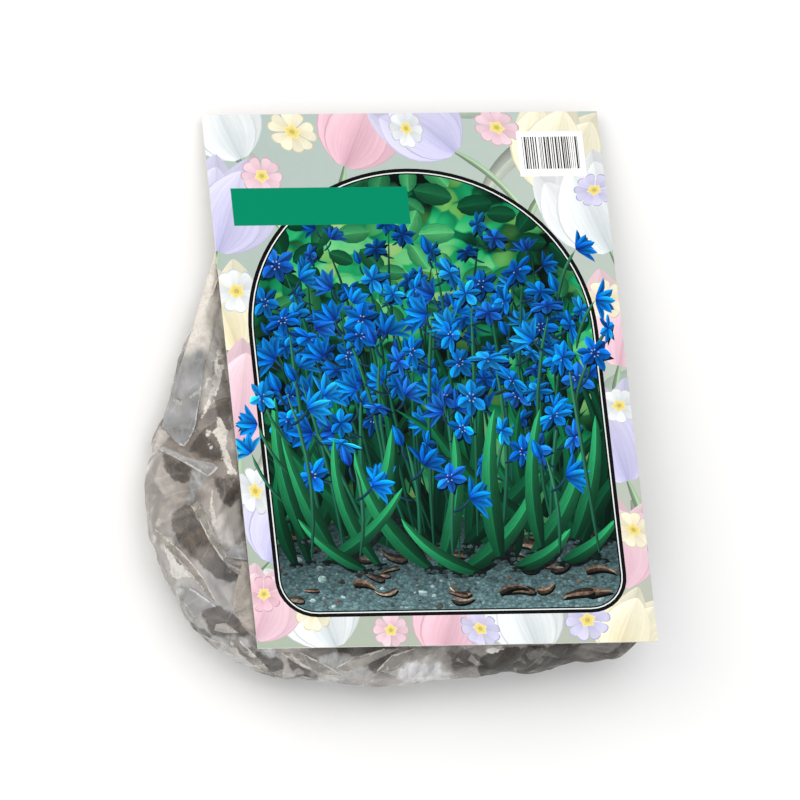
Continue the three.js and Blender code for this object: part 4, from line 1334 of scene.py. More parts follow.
        if stem_len:
            self.leaf(c, c - A * stem_len, g.uniform(-0.08, 0.08), size * 0.075, (150, 178, 146), (172, 196, 166), False, 5, 10, 0.5, taper=0.05)
        petal(-0.17, 0.97, 0.70, -0.13, 0.90)
        petal(0.17, 0.96, 0.70, 0.13, 0.915)
        petal(0.0, 1.03, 0.60, 0.0, 0.885)
        shade(-0.24, 0.85, 0.66, -0.02, 0.95)
        petal(-0.24, 0.85, 0.66, -0.02, 0.965)
        shade(0.24, 0.83, 0.66, 0.02, 0.96)
        petal(0.24, 0.83, 0.66, 0.02, 0.985)
        lean = g.uniform(-0.05, 0.05)
        shade(0.0, 0.88, 0.74, lean, 0.965)
        petal(0.0, 0.88, 0.74, lean, 1.005)

    # -- washed-out primrose for the border: five notched petals round a yellow eye
    def primrose(self, c, size, spin, cols, squash=0.9, lean=0.6):
        g = self.g
        hi, lo = np.array(cols[0], float), np.array(cols[1], float)
        c = np.asarray(c, float)
        ld = np.array([math.cos(lean), math.sin(lean)])
        lp = np.array([-ld[1], ld[0]])

        def xf(P):
            return c + size * 0.5 * (ld * ((P @ ld) * squash)[:, None] + lp * (P @ lp)[:, None])

        T = np.array([0.10, 0.28, 0.46, 0.62, 0.76, 0.87, 0.95, 0.985, 0.97, 0.90])
        W = np.array([0.05, 0.18, 0.32, 0.42, 0.47, 0.455, 0.37, 0.25, 0.12, 0.0])
        for k in (0, 2, 4, 1, 3):
            a = spin + k * 2 * math.pi / 5 + g.uniform(-0.05, 0.05)
            ax = np.array([math.cos(a), math.sin(a)])
            ay = np.array([-ax[1], ax[0]])
            kk = 0.95 + 0.05 * (k % 2) + g.uniform(-0.02, 0.02)
            for grow, dk in ((1.06, 0.93), (1.0, 0.0)):
                for s in (1, -1):
                    edge = ax * (T * grow)[:, None] + ay * (W * grow * s)[:, None]
                    m = np.linspace(0, T[-1], 6)[1:, None]
                    mids = ax * m
                    P = np.vstack([mids, edge[:-1][::-1]])
                    if dk:
                        self.add(xf(P), lo * kk * dk, None, 5, False)
                        continue
                    r = np.linalg.norm(P, axis=1)[:, None]
                    tone = lo * (1 - np.clip(r * 1.2, 0, 1)) + hi * np.clip(r * 1.2, 0, 1)
                    cols_ = tone * kk * (1.0 if s > 0 else 0.965)
                    st = np.vstack([np.stack([np.zeros(5), m[:, 0] * 9], 1), np.stack([np.full(9, s * 1.0), T[:-1] * 9], 1)[::-1]])
                    st[:, 1] += k * 13
                    self.add(xf(P), cols_, st, 4, False)
        n = 15
        for rad, col in ((0.34, (240, 226, 160)), (0.25, (236, 214, 120)), (0.12, (196, 186, 104))):
            a = spin + np.arange(n) * 2 * math.pi / n
            r = rad * (1 + 0.22 * np.cos(a * 5 - spin * 5) * (rad > 0.2))
            self.add(xf(np.stack([np.cos(a) * r, np.sin(a) * r], 1)), np.array(col, float), None, 4, False)

    # -- cut everything into one mesh
    def flatten(self):
        window = ARCH
        base = np.array([(-CARD_W / 2, -CARD_H / 2), (CARD_W / 2, -CARD_H / 2), (CARD_W / 2, CARD_H / 2), (-CARD_W / 2, CARD_H / 2)])
        # shapes that others cover completely are dropped: a coarse map of what shows
        step = 0.3
        gx = np.arange(-85 + step / 2, 85, step)
        gy = np.arange(-120 + step / 2, 120, step)
        top = -np.ones((len(gy), len(gx)), int)

        def cover(pts):
            lo, hi = pts.min(0), pts.max(0)
            i0, i1 = np.searchsorted(gy, lo[1]), np.searchsorted(gy, hi[1])
            j0, j1 = np.searchsorted(gx, lo[0]), np.searchsorted(gx, hi[0])
            if i1 <= i0 or j1 <= j0:
                return None
            X, Y = np.meshgrid(gx[j0:j1], gy[i0:i1])
            ins = np.zeros(X.shape, bool)
            x0, y0 = pts[-1]
            for x1, y1 in pts:
                if y1 != y0:
                    m = (y1 > Y) != (y0 > Y)
                    ins ^= m & (X < (x0 - x1) * (Y - y1) / (y0 - y1) + x1)
                x0, y0 = x1, y1
            return (slice(i0, i1), slice(j0, j1)), ins

        wsl, wins = cover(window)
        wmap = np.zeros(top.shape, bool)
        wmap[wsl] = wins
        for k, (pts, cols, st, kind, clip) in enumerate(self.shapes):
            r = cover(pts)
            if r is None:
                continue
            sl, ins = r
            m = ins & wmap[sl] if clip else ins
            top[sl][m] = k
        seen = np.bincount(top[top >= 0].ravel(), minlength=len(self.shapes))
        shapes = [s for k, s in enumerate(self.shapes) if seen[k] >= 3]
        verts = [tuple(p) for p in base]
        faces = [tuple(range(4))]
        for poly in [window] + [s[0] for s in shapes]:
            n0 = len(verts)
            verts += [tuple(p) for p in poly]
            faces.append(tuple(range(n0, n0 + len(poly))))
        vo, _, fo, _, _, of = delaunay_2d_cdt([Vector(v) for v in verts], [], faces, 3, 1e-4, True)
        vo = np.array([(v[0], v[1]) for v in vo])
        fo = np.array([list(f) for f in fo])
        tops = np.full(len(fo), -1)
        inside = np.zeros(len(fo), bool)
        for i, ids in enumerate(of):
            s = set(ids)
            if 0 not in s:
                continue
            inside[i] = True
            w = 1 in s
            for k in sorted(s, reverse=True):
                if k >= 2 and (w or not shapes[k - 2][4]):
                    tops[i] = k - 2
                    break
        fo, tops = fo[inside], tops[inside]
        kept = np.unique(fo)
        back = np.full(len(vo), -1)
        back[kept] = np.arange(len(kept))
        vo, fo = vo[kept], back[fo]
        P = vo[fo]                       # faces x 3 x 2
        E = P + (P.mean(1, keepdims=True) - P) * 0.03
        col = np.zeros((len(fo), 3, 3))
        st = np.zeros((len(fo), 3, 2))
        kinds = np.zeros(len(fo), int)
        for k in np.unique(tops):
            idx = np.where(tops == k)[0]
            if k < 0:
                col[idx] = (190, 203, 190)
                kinds[idx] = 5
                continue
            pts, cols, sst, kind, _ = shapes[k]
            q = E[idx].reshape(-1, 2)
            d = pts[None] - q[:, None]
            r = np.sqrt((d**2).sum(-1)) + 1e-9
            dn = np.roll(d, -1, 1)
            rn = np.roll(r, -1, 1)
            cross = d[..., 0] * dn[..., 1] - d[..., 1] * dn[..., 0]
            dot = (d * dn).sum(-1)
            tan = (r * rn - dot) / (cross + np.where(cross >= 0, 1e-9, -1e-9))
            w = (np.roll(tan, 1, 1) + tan) / r
            w /= w.sum(1, keepdims=True) + 1e-12
            c = w @ cols
            c = np.clip(c, cols.min(0), cols.max(0))
            col[idx] = c.reshape(-1, 3, 3)
            st[idx] = np.clip(w @ sst, sst.min(0), sst.max(0)).reshape(-1, 3, 2)
            kinds[idx] = kind
        print("print", len(self.shapes), "shapes,", len(shapes), "seen,", len(fo), "triangles", round(time.time() - T_START, 1), "s")
        return vo, fo, col, st, kinds


def draw_print():
    p = Print(23)
    g = p.g
    box = np.array([(-86, -121), (86, -121), (86, 121), (-86, 121)])
    p.add(box, [(168, 180, 164), (182, 186, 174), (182, 196, 188), (172, 188, 184)], None, 5)
    # -- border: washed-out leaves, tulips and primroses
    for _ in range(34):
        x, y = g.uniform(-88, 88), g.uniform(-122, 122)
        if abs(x) < 50 and -80 < y < 70:
            continue
        a = g.uniform(0, 2 * math.pi)
        L = g.uniform(28, 52)
        c1 = [(152, 172, 156), (168, 180, 162), (184, 194, 178), (164, 172, 168)][int(g.integers(4))]
        c2 = [(180, 198, 180), (194, 202, 186), (204, 212, 196), (188, 198, 196)][int(g.integers(4))]
        p.leaf((x, y), (x + L * math.cos(a), y + L * math.sin(a)), g.uniform(-0.25, 0.25), g.uniform(9, 15), c1, c2, False, 4, 14, 0.22)
    white = ((240, 243, 245), (204, 214, 218))
    pink = ((243, 212, 222), (222, 178, 196))
    rose = ((240, 200, 212), (212, 166, 184))
    lilac = ((218, 216, 242), (186, 184, 224))
    cream = ((247, 242, 218), (228, 216, 176))
    spots = [(-70, 104, 40, 2.0, white), (-26, 100, 42, 1.2, rose), (22, 106, 40, 2.3, lilac), (58, 88, 44, 1.3, cream),
             (84, 60, 46, 1.9, white), (-84, 62, 44, 1.1, lilac), (-80, 18, 40, 1.75, cream), (-84, -24, 46, 1.35, pink),
             (82, 8, 44, 1.25, pink), (80, -44, 46, 1.8, lilac), (-76, -78, 44, 1.15, lilac), (-52, -116, 44, 1.9, white),
             (-8, -122, 36, 1.35, rose), (34, -121, 38, 1.9, white), (72, -92, 40, 1.45, pink),
             (66, -124, 34, 1.2, cream), (-86, -112, 34, 1.1, pink)]
    for x, y, s, a, c in spots:
        p.tulip((x, y - 4), s, a + g.uniform(-0.1, 0.1), c, s * 0.9)
    for x, y, s, c in ((-47, 112, 21, cream), (-62, 92, 17, pink), (41, 113, 19, pink), (80, 84, 17, lilac), (-78, 40, 19, white), (79, 34, 18, cream),
                       (-79, -50, 20, white), (-60, -104, 17, cream), (80, -14, 17, white), (10, -113, 17, lilac), (-28, -113, 15, pink),
                       (56, -110, 19, lilac), (80, -70, 18, cream), (2, 113, 17, white), (-80, -96, 16, rose)):
        p.primrose((x, y), s, g.uniform(0, 1.2), c, g.uniform(0.78, 0.98), g.uniform(0, 3))

    # -- window ring and ground
    p.add(grow_arch(2.7), (14, 14, 16))
    p.add(grow_arch(1.1), (232, 236, 234))
    p.add(grow_arch(0.6), (8, 12, 12))
    p.add(ARCH, [(255, 255, 255) if y > -40 else (120, 120, 120) for x, y in ARCH], None, 7)

    # -- a few far leaves in front of the blurred foliage
    cells = []
    for _ in range(3000):
        x, y = g.uniform(-74, 74), g.uniform(24, 93)
        if all((x - a) ** 2 + (y - b) ** 2 > 9.5**2 for a, b in cells):
            cells.append((x, y))
    cells.sort(key=lambda c: -c[1])
    T = np.array([-1, -0.8, -0.4, 0.1, 0.55, 0.85, 1.0])
    W = np.array([0.0, 0.34, 0.56, 0.62, 0.5, 0.27, 0.0])
    for x, y in cells:
        lit = np.clip(0.40 + 0.42 * math.sin(x * 0.06 + 1.3) + 0.30 * math.sin(y * 0.13 + x * 0.05) + g.uniform(-0.3, 0.3), 0, 1)
        if g.random() < 0.2:
            continue
        r = g.uniform(5.0, 8.6)
        a = g.uniform(0, 2 * math.pi)
        n = np.array([math.cos(a), math.sin(a)])
        m = np.array([-n[1], n[0]])
        dark = np.array([3, 44, 28]) * (1 - lit) + np.array([16, 112, 70]) * lit
        light = np.array([8, 74, 46]) * (1 - lit) + np.array([84, 180, 112]) * lit
        for s in (1, -1):
            k = 1.0 if s * m[1] - s * m[0] * 0.4 > 0 else 0.84
            P = np.vstack([(T * r)[:, None] * n, ((T * r)[:, None] * n + (W * r * s)[:, None] * m)[1:-1][::-1]]) + (x, y)
            cols = np.vstack([np.tile(light * k, (7, 1)), np.tile((dark * 0.6 + light * 0.4) * k, (5, 1))])
            st = np.vstack([np.stack([np.zeros(7), T * 4], 1), np.stack([np.full(5, s), T[1:-1][::-1] * 4], 1)])
            p.add(P, cols, st, 1, True)

    def foot(x, y, w):
        """Soil heaped round the base of a leaf, dark on the side away from the light."""
        p.crumb((x + 0.5, y - 0.7), w * 0.46, (17, 25, 26), 3, True, 8, 0.42, g.uniform(-0.3, 0.3))
        for s in (-1, 1):
            p.crumb((x + s * w * g.uniform(0.12, 0.3), y - g.uniform(0.9, 1.6)), w * g.uniform(0.15, 0.22), (50, 66, 68), 3, True, 6, 0.6, g.uniform(-0.4, 0.4))

    def blade(x, y, L, a, bend, w, dark, light, n=8, fold=0.6):
        p.leaf((x, y), (x + L * math.cos(a), y + L * math.sin(a)), bend, w, dark, light, True, 1, n, fold)
        if y < -74:
            foot(x, y, w)

    # -- far leaves, dark
    for _ in range(30):
        x = g.uniform(-80, 80)
        blade(x, -62 + g.uniform(-8, 10), g.uniform(52, 100), math.pi / 2 - x * 0.003 + g.uniform(-0.55, 0.55), g.uniform(-0.10, 0.10),
              g.uniform(4.0, 7), (1, 11, 8), (5, 44, 30))

    # -- soil, pebbles and dry leaves
    top = [(x, -66 + 5 * math.sin(x * 0.11) + 3 * math.sin(x * 0.31 + 1) + g.uniform(-1.2, 1.2)) for x in np.arange(76, -77, -4)]
    P = np.array([(-76, -106), (76, -106)] + top)
    p.add(P, [(98, 126, 130) if y < -90 else (30, 46, 48) for x, y in P], None, 3, True)
    soil = [(104, 134, 138), (84, 108, 112), (124, 148, 148), (72, 80, 78), (108, 98, 88), (146, 168, 172)]
    marks = []
    for _ in range(2600):
        x, y = g.uniform(-73, 73), g.uniform(-105, -60)
        r = g.uniform(0.5, 1.0) + 1.5 * g.random() ** 4
        if all((x - a) ** 2 + (y - b) ** 2 > (r + c) ** 2 * 0.72 for a, b, c in marks):
            marks.append((x, y, r))
        if len(marks) > 330:
            break
    marks.sort(key=lambda m: -m[1])
    for x, y, r in marks:
        k = np.interp(y, [-104, -84, -66], [0.98, 0.74, 0.34]) * g.uniform(0.7, 1.2)
        p.crumb((x, y), r, np.array(soil[int(g.integers(6))]) * k, 3, True, 5 if r < 0.9 else 7, g.uniform(0.55, 0.85), g.uniform(-0.4, 0.4))
    dry = [(136, 112, 94), (112, 92, 78), (158, 138, 120), (96, 84, 76), (128, 116, 106)]
    for _ in range(34):
        x, y = g.uniform(-66, 66), g.uniform(-100, -68)
        a = g.uniform(-0.7, 0.7) + (math.pi if g.random() < 0.5 else 0)
        L = g.uniform(6, 15)
        k = np.interp(y, [-100, -70], [0.95, 0.5])
        c = np.array(dry[int(g.integers(5))]) * k
        off = np.array([L * 0.04, -L * 0.09])
        for q, (c1, c2) in enumerate((((10, 14, 14), (10, 14, 14)), (c * 0.62, c * 1.16))):
            o = off if q == 0 else off * 0
            p.leaf((x + o[0], y + o[1]), (x + L * math.cos(a) + o[0], y + L * math.sin(a) * 0.6 + o[1]), 0.2 * math.sin(x), L * (0.24 + 0.16 * math.sin(y) ** 2),
                   c1, c2, True, 3 if q else 6, 7, 1.1, taper=0.9)

    blue = ((0, 52, 150), (0, 112, 212), (24, 166, 238))
    azure = ((0, 66, 164), (2, 130, 224), (60, 188, 244))
    deepb = ((2, 36, 120), (0, 88, 186), (8, 138, 222))
    violet = ((8, 38, 134), (16, 94, 202), (36, 144, 230))
    tones = [blue, azure, blue, deepb, violet]

    def flower(f, size, toward, tone, shade, clip):
        """One open, half-open or slanted flower that faces roughly away from its stalk."""
        r = g.random()
        if r < 0.30:
            p.cup(f, size * g.uniform(0.95, 1.1), toward + g.uniform(-0.5, 0.5), tone, shade, clip)
        else:
            p.star(f, size * g.uniform(0.9, 1.12), g.uniform(0, 1.05), toward + g.uniform(-0.9, 0.9), g.uniform(0.34, 0.95), tone, shade, clip)

    def scape(x, y, gx, gy, size, shade, n, dark, light, clip=True, clip_flowers=True):
        """A flower stalk from the ground (gx, gy) to (x, y) with n flowers round its top."""
        bend = g.uniform(-0.07, 0.07)
        p.stem((gx, gy), (x, y), bend, size * 0.10, dark, light, clip)
        up = np.array([x - gx, y - gy]) / math.hypot(x - gx, y - gy)
        side = np.array([-up[1], up[0]])
        todo = []
        for k in range(n):
            s = -1 if k % 2 else 1
            f = np.array([x, y]) - up * (size * (0.10 + 0.50 * k)) + side * s * size * (0.12 + 0.32 * min(k, 3) ** 0.5) * g.uniform(0.8, 1.2)
            todo.append((f, s, k))
        for f, s, k in reversed(todo):
            q = np.array([x, y]) - up * (size * (0.5 + 0.5 * k))
            p.stem(q, f, 0.1 * s, size * 0.075, (16, 44, 62), (30, 70, 92), clip)
            tone = tones[int(g.integers(5))]
            out = math.atan2(side[1] * s + up[1] * 0.7, side[0] * s + up[0] * 0.7)
            if k == 0 and g.random() < 0.35:
                p.bud(f, math.atan2(up[1], up[0]) + s * 0.3, size * 0.6, tone, shade, clip_flowers)
                continue
            flower(f, size, out, tone, shade * g.uniform(0.88, 1.08), clip_flowers)

    def spread(n, x0, x1, y0, y1, gap, tries=4000, edge=True):
        out = []
        for _ in range(tries):
            x, y = g.uniform(x0, x1), g.uniform(y0, y1)
            if edge and y > 20 and math.hypot(x, y - 20) > 68:
                continue
            if all((x - a) ** 2 + ((y - b) * 0.8) ** 2 > gap**2 for a, b in out):
                out.append((x, y))
            if len(out) >= n:
                break
        return sorted(out, key=lambda c: -c[1])

    # far flowers
    for x, y in spread(21, -66, 66, 12, 72, 13.5):
        scape(x, y, x * 0.8 + g.uniform(-8, 8), -52, g.uniform(11, 12.5), 0.70, 3, (6, 34, 28), (18, 66, 50))
    # leaves between
    for _ in range(30):
        x = g.uniform(-76, 76)
        blade(x, -70 + g.uniform(-7, 8), g.uniform(50, 92), math.pi / 2 - x * 0.003 + g.uniform(-0.7, 0.7), g.uniform(-0.11, 0.11),
              g.uniform(5.0, 8.2), (1, 20, 13), (7, 66, 43), 9)
    # middle flowers
    for x, y in spread(22, -66, 67, -6, 58, 15):
        scape(x, y, x * 0.82 + g.uniform(-10, 10), -70 + g.uniform(-5, 5), g.uniform(14, 16), 0.88, 3, (8, 50, 38), (26, 92, 70))
    for _ in range(24):
        x = g.uniform(-72, 72)
        blade(x, -76 + g.uniform(-7, 8), g.uniform(42, 80), math.pi / 2 - x * 0.002 + g.uniform(-0.85, 0.85), g.uniform(-0.13, 0.13),
              g.uniform(6.0, 9.4), (2, 30, 20), (15, 98, 61), 9)
    # near flowers
    for x, y in spread(14, -60, 62, -30, 40, 18.5):
        scape(x, y, x * 0.85 + g.uniform(-12, 12), -76 + g.uniform(-5, 5), g.uniform(15.5, 18), 1.0, 3, (14, 64, 48), (40, 112, 84))
    # near leaves, lit, and a few lying low over the soil
    for x, y, ex, ey, b, w in ((12, -88, -20, -64, 0.10, 8), (-52, -82, -18, -52, -0.08, 8), (48, -84, 72, -62, -0.08, 8), (28, -86, 54, -66, -0.1, 7.5),
                               (-36, -86, -64, -62, 0.07, 7.5), (4, -88, 44, -44, -0.10, 9), (-8, -86, -34, -34, 0.10, 9.5)):
        p.leaf((x + 0.4, y - 0.6), (ex * 0.7 + x * 0.3 + 3, ey * 0.7 + y * 0.3 - 5.5), b, w * 0.95, (13, 21, 22), (26, 37, 38), True, 3, 9, 0.0, 0.0, None, 0.75, 0.2)
    for x, y, ex, ey, b, w in ((-48, -78, -68, -20, 0.05, 9.5), (-44, -80, -20, -22, -0.08, 9), (-30, -84, -44, -26, 0.10, 8.5), (-8, -86, -34, -34, 0.10, 9.5),
                               (-4, -86, 10, -22, -0.06, 9.5), (4, -88, 44, -44, -0.10, 9), (22, -82, 26, -14, 0.05, 10), (36, -80, 62, -30, -0.08, 9.5),
                               (40, -78, 46, -14, 0.06, 8.5), (54, -74, 68, -16, -0.06, 9), (-60, -72, -68, -8, 0.06, 8), (12, -88, -20, -64, 0.10, 8),
                               (-52, -82, -18, -52, -0.08, 8), (48, -84, 72, -62, -0.08, 8), (28, -86, 54, -66, -0.1, 7.5), (-36, -86, -64, -62, 0.07, 7.5)):
        p.leaf((x, y), (ex + g.uniform(-2, 2), ey + g.uniform(-3, 3)), b, w * g.uniform(0.85, 1.05), (3, 42, 27), (42, 152, 96), True, 1, 12, 0.8, 0.0, None, 0.75, 0.34)
        foot(x, y, w)
    for x, y, s in ((-36, -38, 17), (6, -44, 17), (46, -36, 16.5), (-62, -4, 17), (60, 10, 17)):
        scape(x, y, x + g.uniform(-8, 8), -80, s, 1.04, 2, (18, 70, 52), (52, 122, 92))
    # flowers that stand in front of the frame
    for x, y, s in ((75, 34, 17), (79, 21, 15), (72, 10, 16), (-75, -20, 16.5), (-79, -33, 15), (69, 57, 14.5), (-72, -8, 14.5)):
        p.stem((x * 0.86, y - 22), (x, y), 0.06, 1.5, (20, 74, 54), (54, 118, 88), False)
        flower((x, y), s, math.atan2(0.4, 1 if x > 0 else -1), tones[int(g.integers(4))], 1.0, False)

    # -- bare name band and label box
    p.add([(-76, 69.5), (-0.5, 69.5), (-0.5, 86.5), (-76, 86.5)], (0, 134, 98))
    lx0, lx1, ly0, ly1 = 49.0, 77.5, 90.5, 111.0
    p.add([(lx0, ly0), (lx1, ly0), (lx1, ly1), (lx0, ly1)], (250, 250, 250))
    x = lx0 + 2.2
    while x < lx1 - 2.6:
        w = float(g.choice([0.22, 0.34, 0.5, 0.68]))
        p.add([(x, ly0 + 3.4), (x + w, ly0 + 3.4), (x + w, ly1 - 2.4), (x, ly1 - 2.4)], (22, 22, 24))
        x += w + float(g.choice([0.26, 0.4, 0.62]))
    return p.flatten()


def lin(c):
    c = np.clip(c / 255.0, 0, 1)
    return np.where(c <= 0.04045, c / 12.92, ((c + 0.055) / 1.055) ** 2.4)


def build_card(mats):
    vo, fo, col, st, kinds = draw_print()
    half = CARD_T / 2
    front = np.column_stack([vo, np.full(len(vo), half)])
    # boundary loop of the sheet, anticlockwise
    used = np.unique(fo)
    e = 1e-5
    on = [i for i in used if abs(abs(vo[i, 0]) - CARD_W / 2) < e or abs(abs(vo[i, 1]) - CARD_H / 2) < e]

    def along(i):
        x, y = vo[i]
        if abs(y + CARD_H / 2) < e and x < CARD_W / 2 - e:
            return x + CARD_W / 2
        if abs(x - CARD_W / 2) < e and y < CARD_H / 2 - e:
            return CARD_W + y + CARD_H / 2
        if abs(y - CARD_H / 2) < e and x > -CARD_W / 2 + e:
            return CARD_W + CARD_H + CARD_W / 2 - x
        return 2 * CARD_W + CARD_H + CARD_H / 2 - y

    loop = sorted(on, key=along)
    n0 = len(front)
    mid = np.array([(vo[i, 0], vo[i, 1], 0.0) for i in loop])
    back = np.array([(vo[i, 0], vo[i, 1], -half) for i in loop])
    m = len(loop)
    # the cut edge stays square: this copy of the back loop is moved by nothing and not used
    inner = back.copy()
    inner[:, 0] -= np.sign(inner[:, 0]) * (np.abs(np.abs(inner[:, 0]) - CARD_W / 2) < e) * 0.0
    verts = np.vstack([front, mid, back])
    faces = [tuple(f) for f in fo]
    mat_ids = [0] * len(faces)
    for k in range(m):
        a, b = loop[k], loop[(k + 1) % m]
        c, d = n0 + k, n0 + (k + 1) % m
        faces.append((b, a, c, d))
        faces.append((d, c, c + m, d + m))
        mat_ids += [1, 1]
    # back: one face over the boundary loop; the board stays flat
    faces.append(tuple(range(n0 + 2 * m - 1, n0 + m - 1, -1)))
    mat_ids.append(1)
    bow = 0.0
    pk = world(card_to_pack(verts))
    ob = add_mesh("card_look", pk, faces, mats, False, mat_ids)
    me = ob.data
    a = me.attributes.new("ink", "FLOAT_COLOR", "CORNER")
    full = np.ones((len(me.loops), 4))
    full[:, :3] = lin(np.array([238.0, 238, 234]))
    full[: len(fo) * 3, :3] = lin(col.reshape(-1, 3))
    a.data.foreach_set("color", full.astype(np.float32).ravel())
    b = me.attributes.new("shape", "FLOAT_VECTOR", "CORNER")
    sv = np.zeros((len(me.loops), 3))
    sv[: len(fo) * 3, :2] = st.reshape(-1, 2)
    sv[: len(fo) * 3, 2] = np.repeat(kinds, 3)
    b.data.foreach_set("vector", sv.astype(np.float32).ravel())
    return ob


# ------------------------------------------------------------------ materials
def mat_print():
    m = Nodes("card_print")
    ink = m.n("Attribute", attribute_name="ink").outputs["Color"]
    shape = m.n("Attribute", attribute_name="shape").outputs["Vector"]
    sep = m.n("SeparateXYZ", ins={0: shape})
    kind = sep.outputs[2]
    co = m.n("TexCoord").outputs["Object"]

    def is_kind(k):
        return m.math("COMPARE", kind, float(k), 0.3)

    flat = m.n("CombineXYZ", ins={0: sep.outputs[0], 1: sep.outputs[1]}).outputs[0]
    veins = m.noise(m.mapping(flat, (7.0, 0.16, 1.0)), 1.0, 3.0, 0.6).outputs["Fac"]
    streak = m.noise(m.mapping(flat, (3.4, 0.55, 1.0)), 1.0, 2.0, 0.5).outputs["Fac"]
    hatch = m.noise(m.mapping(flat, (9.0, 0.10, 1.0)), 1.3, 2.0, 0.5, 0.4).outputs["Fac"]
    grain = m.noise(co, 1500.0, 4.0, 0.7).outputs["Fac"]
    blot = m.noise(co, 260.0, 4.0, 0.6).outputs["Fac"]
    soft = m.noise(co, 42.0, 3.0, 0.5).outputs["Fac"]
    one = 1.0

    def around(fac, depth, mask):
        """1 + (fac - .5) * depth where mask is 1."""
        d = m.math("MULTIPLY", m.math("SUBTRACT", fac, 0.5), depth)
        return m.math("ADD", m.math("MULTIPLY", d, mask), 1.0)

    rib = m.math("SUBTRACT", 1.0, m.math("MULTIPLY", m.math("ABSOLUTE", sep.outputs[0]), 7.0), clamp=True)
    k = around(veins, 0.95, is_kind(1))
    k = m.math("MULTIPLY", k, around(streak, 1.0, is_kind(2)))
    k = m.math("MULTIPLY", k, m.math("SUBTRACT", 1.0, m.math("MULTIPLY", m.math("MULTIPLY", rib, is_kind(2)), 0.30)))
    k = m.math("MULTIPLY", k, m.math("ADD", 1.0, m.math("MULTIPLY", m.math("MULTIPLY", rib, is_kind(1)), 0.22)))
    k = m.math("MULTIPLY", k, around(grain, 2.0, is_kind(3)))
    k = m.math("MULTIPLY", k, around(blot, 1.3, is_kind(3)))
    clod = m.n("TexVoronoi", feature="F1")                # crumbs of soil
    m.put(clod.inputs["Vector"], m.mapping(co, (1.0, 1.5, 1.0), (0, 0, 0.3)))
    clod.inputs["Scale"].default_value = 640.0
    k = m.math("MULTIPLY", k, around(clod.outputs["Distance"], -1.0, is_kind(3)))
    k = m.math("MULTIPLY", k, around(m.n("SeparateColor", ins={0: clod.outputs["Color"]}).outputs[0], 0.55, is_kind(3)))
    k = m.math("MULTIPLY", k, around(hatch, 0.34, is_kind(4)))
    k = m.math("MULTIPLY", k, around(hatch, 0.12, is_kind(5)))
    seam = m.math("SUBTRACT", 1.0, m.math("MULTIPLY", m.math("ABSOLUTE", sep.outputs[0]), 12.0), clamp=True)
    k = m.math("MULTIPLY", k, m.math("SUBTRACT", 1.0, m.math("MULTIPLY", m.math("MULTIPLY", seam, is_kind(4)), 0.05)))
    k = m.math("MULTIPLY", k, around(blot, 0.07, m.math("ADD", is_kind(4), is_kind(5))))
    k = m.math("MULTIPLY", k, around(soft, 0.42, m.math("SUBTRACT", 1.0, m.math("ADD", is_kind(0), m.math("ADD", is_kind(4), is_kind(5))))))
    fine = m.noise(co, 3800.0, 2.0, 0.5).outputs["Fac"]
    k = m.math("MULTIPLY", k, around(fine, 0.10, one))
    grey = m.n("CombineColor", ins={0: k, 1: k, 2: k}).outputs[0]
    # far foliage, out of focus: blended cells of leaf colours with dark hollows
    bend = m.noise(co, 70.0, 2.0, 0.5).outputs["Color"]
    wv = m.n("VectorMath", operation="MULTIPLY_ADD")
    m.put(wv.inputs[0], bend)
    wv.inputs[1].default_value = (0.010, 0.010, 0.0)
    m.put(wv.inputs[2], co)
    cell = m.n("TexVoronoi", feature="SMOOTH_F1")
    m.put(cell.inputs["Vector"], m.mapping(wv.outputs[0], (1.0, 1.35, 1.0), (0, 0, 0.5)))
    cell.inputs["Scale"].default_value = 125.0
    cell.inputs["Smoothness"].default_value = 0.32
    leafy = m.n("SeparateColor", ins={0: cell.outputs["Color"]})
    light = m.noise(co, 21.0, 2.0, 0.5).outputs["Fac"]
    lit = m.n("MapRange", ins={0: light, 1: 0.38, 2: 0.60, 3: -0.12, 4: 0.58}).outputs[0]
    lit = m.math("ADD", m.math("MULTIPLY", leafy.outputs[0], 0.62), lit, clamp=True)
    lit = m.math("SUBTRACT", lit, m.math("MULTIPLY", cell.outputs["Distance"], 0.18), clamp=True)
    leaf_a = m.ramp(lit, [(0.05, srgb(4, 16, 14)), (0.26, srgb(4, 58, 38)), (0.48, srgb(12, 118, 74)), (0.72, srgb(34, 168, 104)), (0.95, srgb(110, 200, 128))])
    leaf_b = m.ramp(lit, [(0.05, srgb(8, 14, 12)), (0.26, srgb(20, 60, 34)), (0.48, srgb(60, 116, 56)), (0.72, srgb(96, 166, 84)), (0.95, srgb(150, 196, 118))])
    hue = m.n("MapRange", ins={0: leafy.outputs[1], 1: 0.55, 2: 0.8, 3: 0.0, 4: 1.0}).outputs[0]
    foliage = m.mix(hue, leaf_a, leaf_b)
    ink = m.mix(is_kind(7), ink, m.mix(1.0, ink, foliage, "MULTIPLY"))
    colour = m.mix(1.0, ink, grey, "MULTIPLY")
    # the coating scuffs lightly, in fine streaks
    scuff = m.noise(m.mapping(co, (1.0, 0.12, 1.0), (0, 0, 0.5)), 900.0, 3.0, 0.6).outputs["Fac"]
    rough = m.ramp(scuff, [(0.35, (0.34, 0.34, 0.34)), (0.62, (0.42, 0.42, 0.42)), (0.72, (0.56, 0.56, 0.56))])
    wave = m.bump(m.noise(co, 30.0, 2.0, 0.5).outputs["Fac"], 0.12, 0.002)
    nor = m.bump(m.noise(co, 2600.0, 2.0, 0.5).outputs["Fac"], 0.05, 0.0002, wave)
    b = m.n("BsdfPrincipled", ins={"Base Color": colour, "Roughness": rough, "Normal": nor})
    b.inputs["Specular IOR Level"].default_value = 0.04
    return m.done(b.outputs[0])


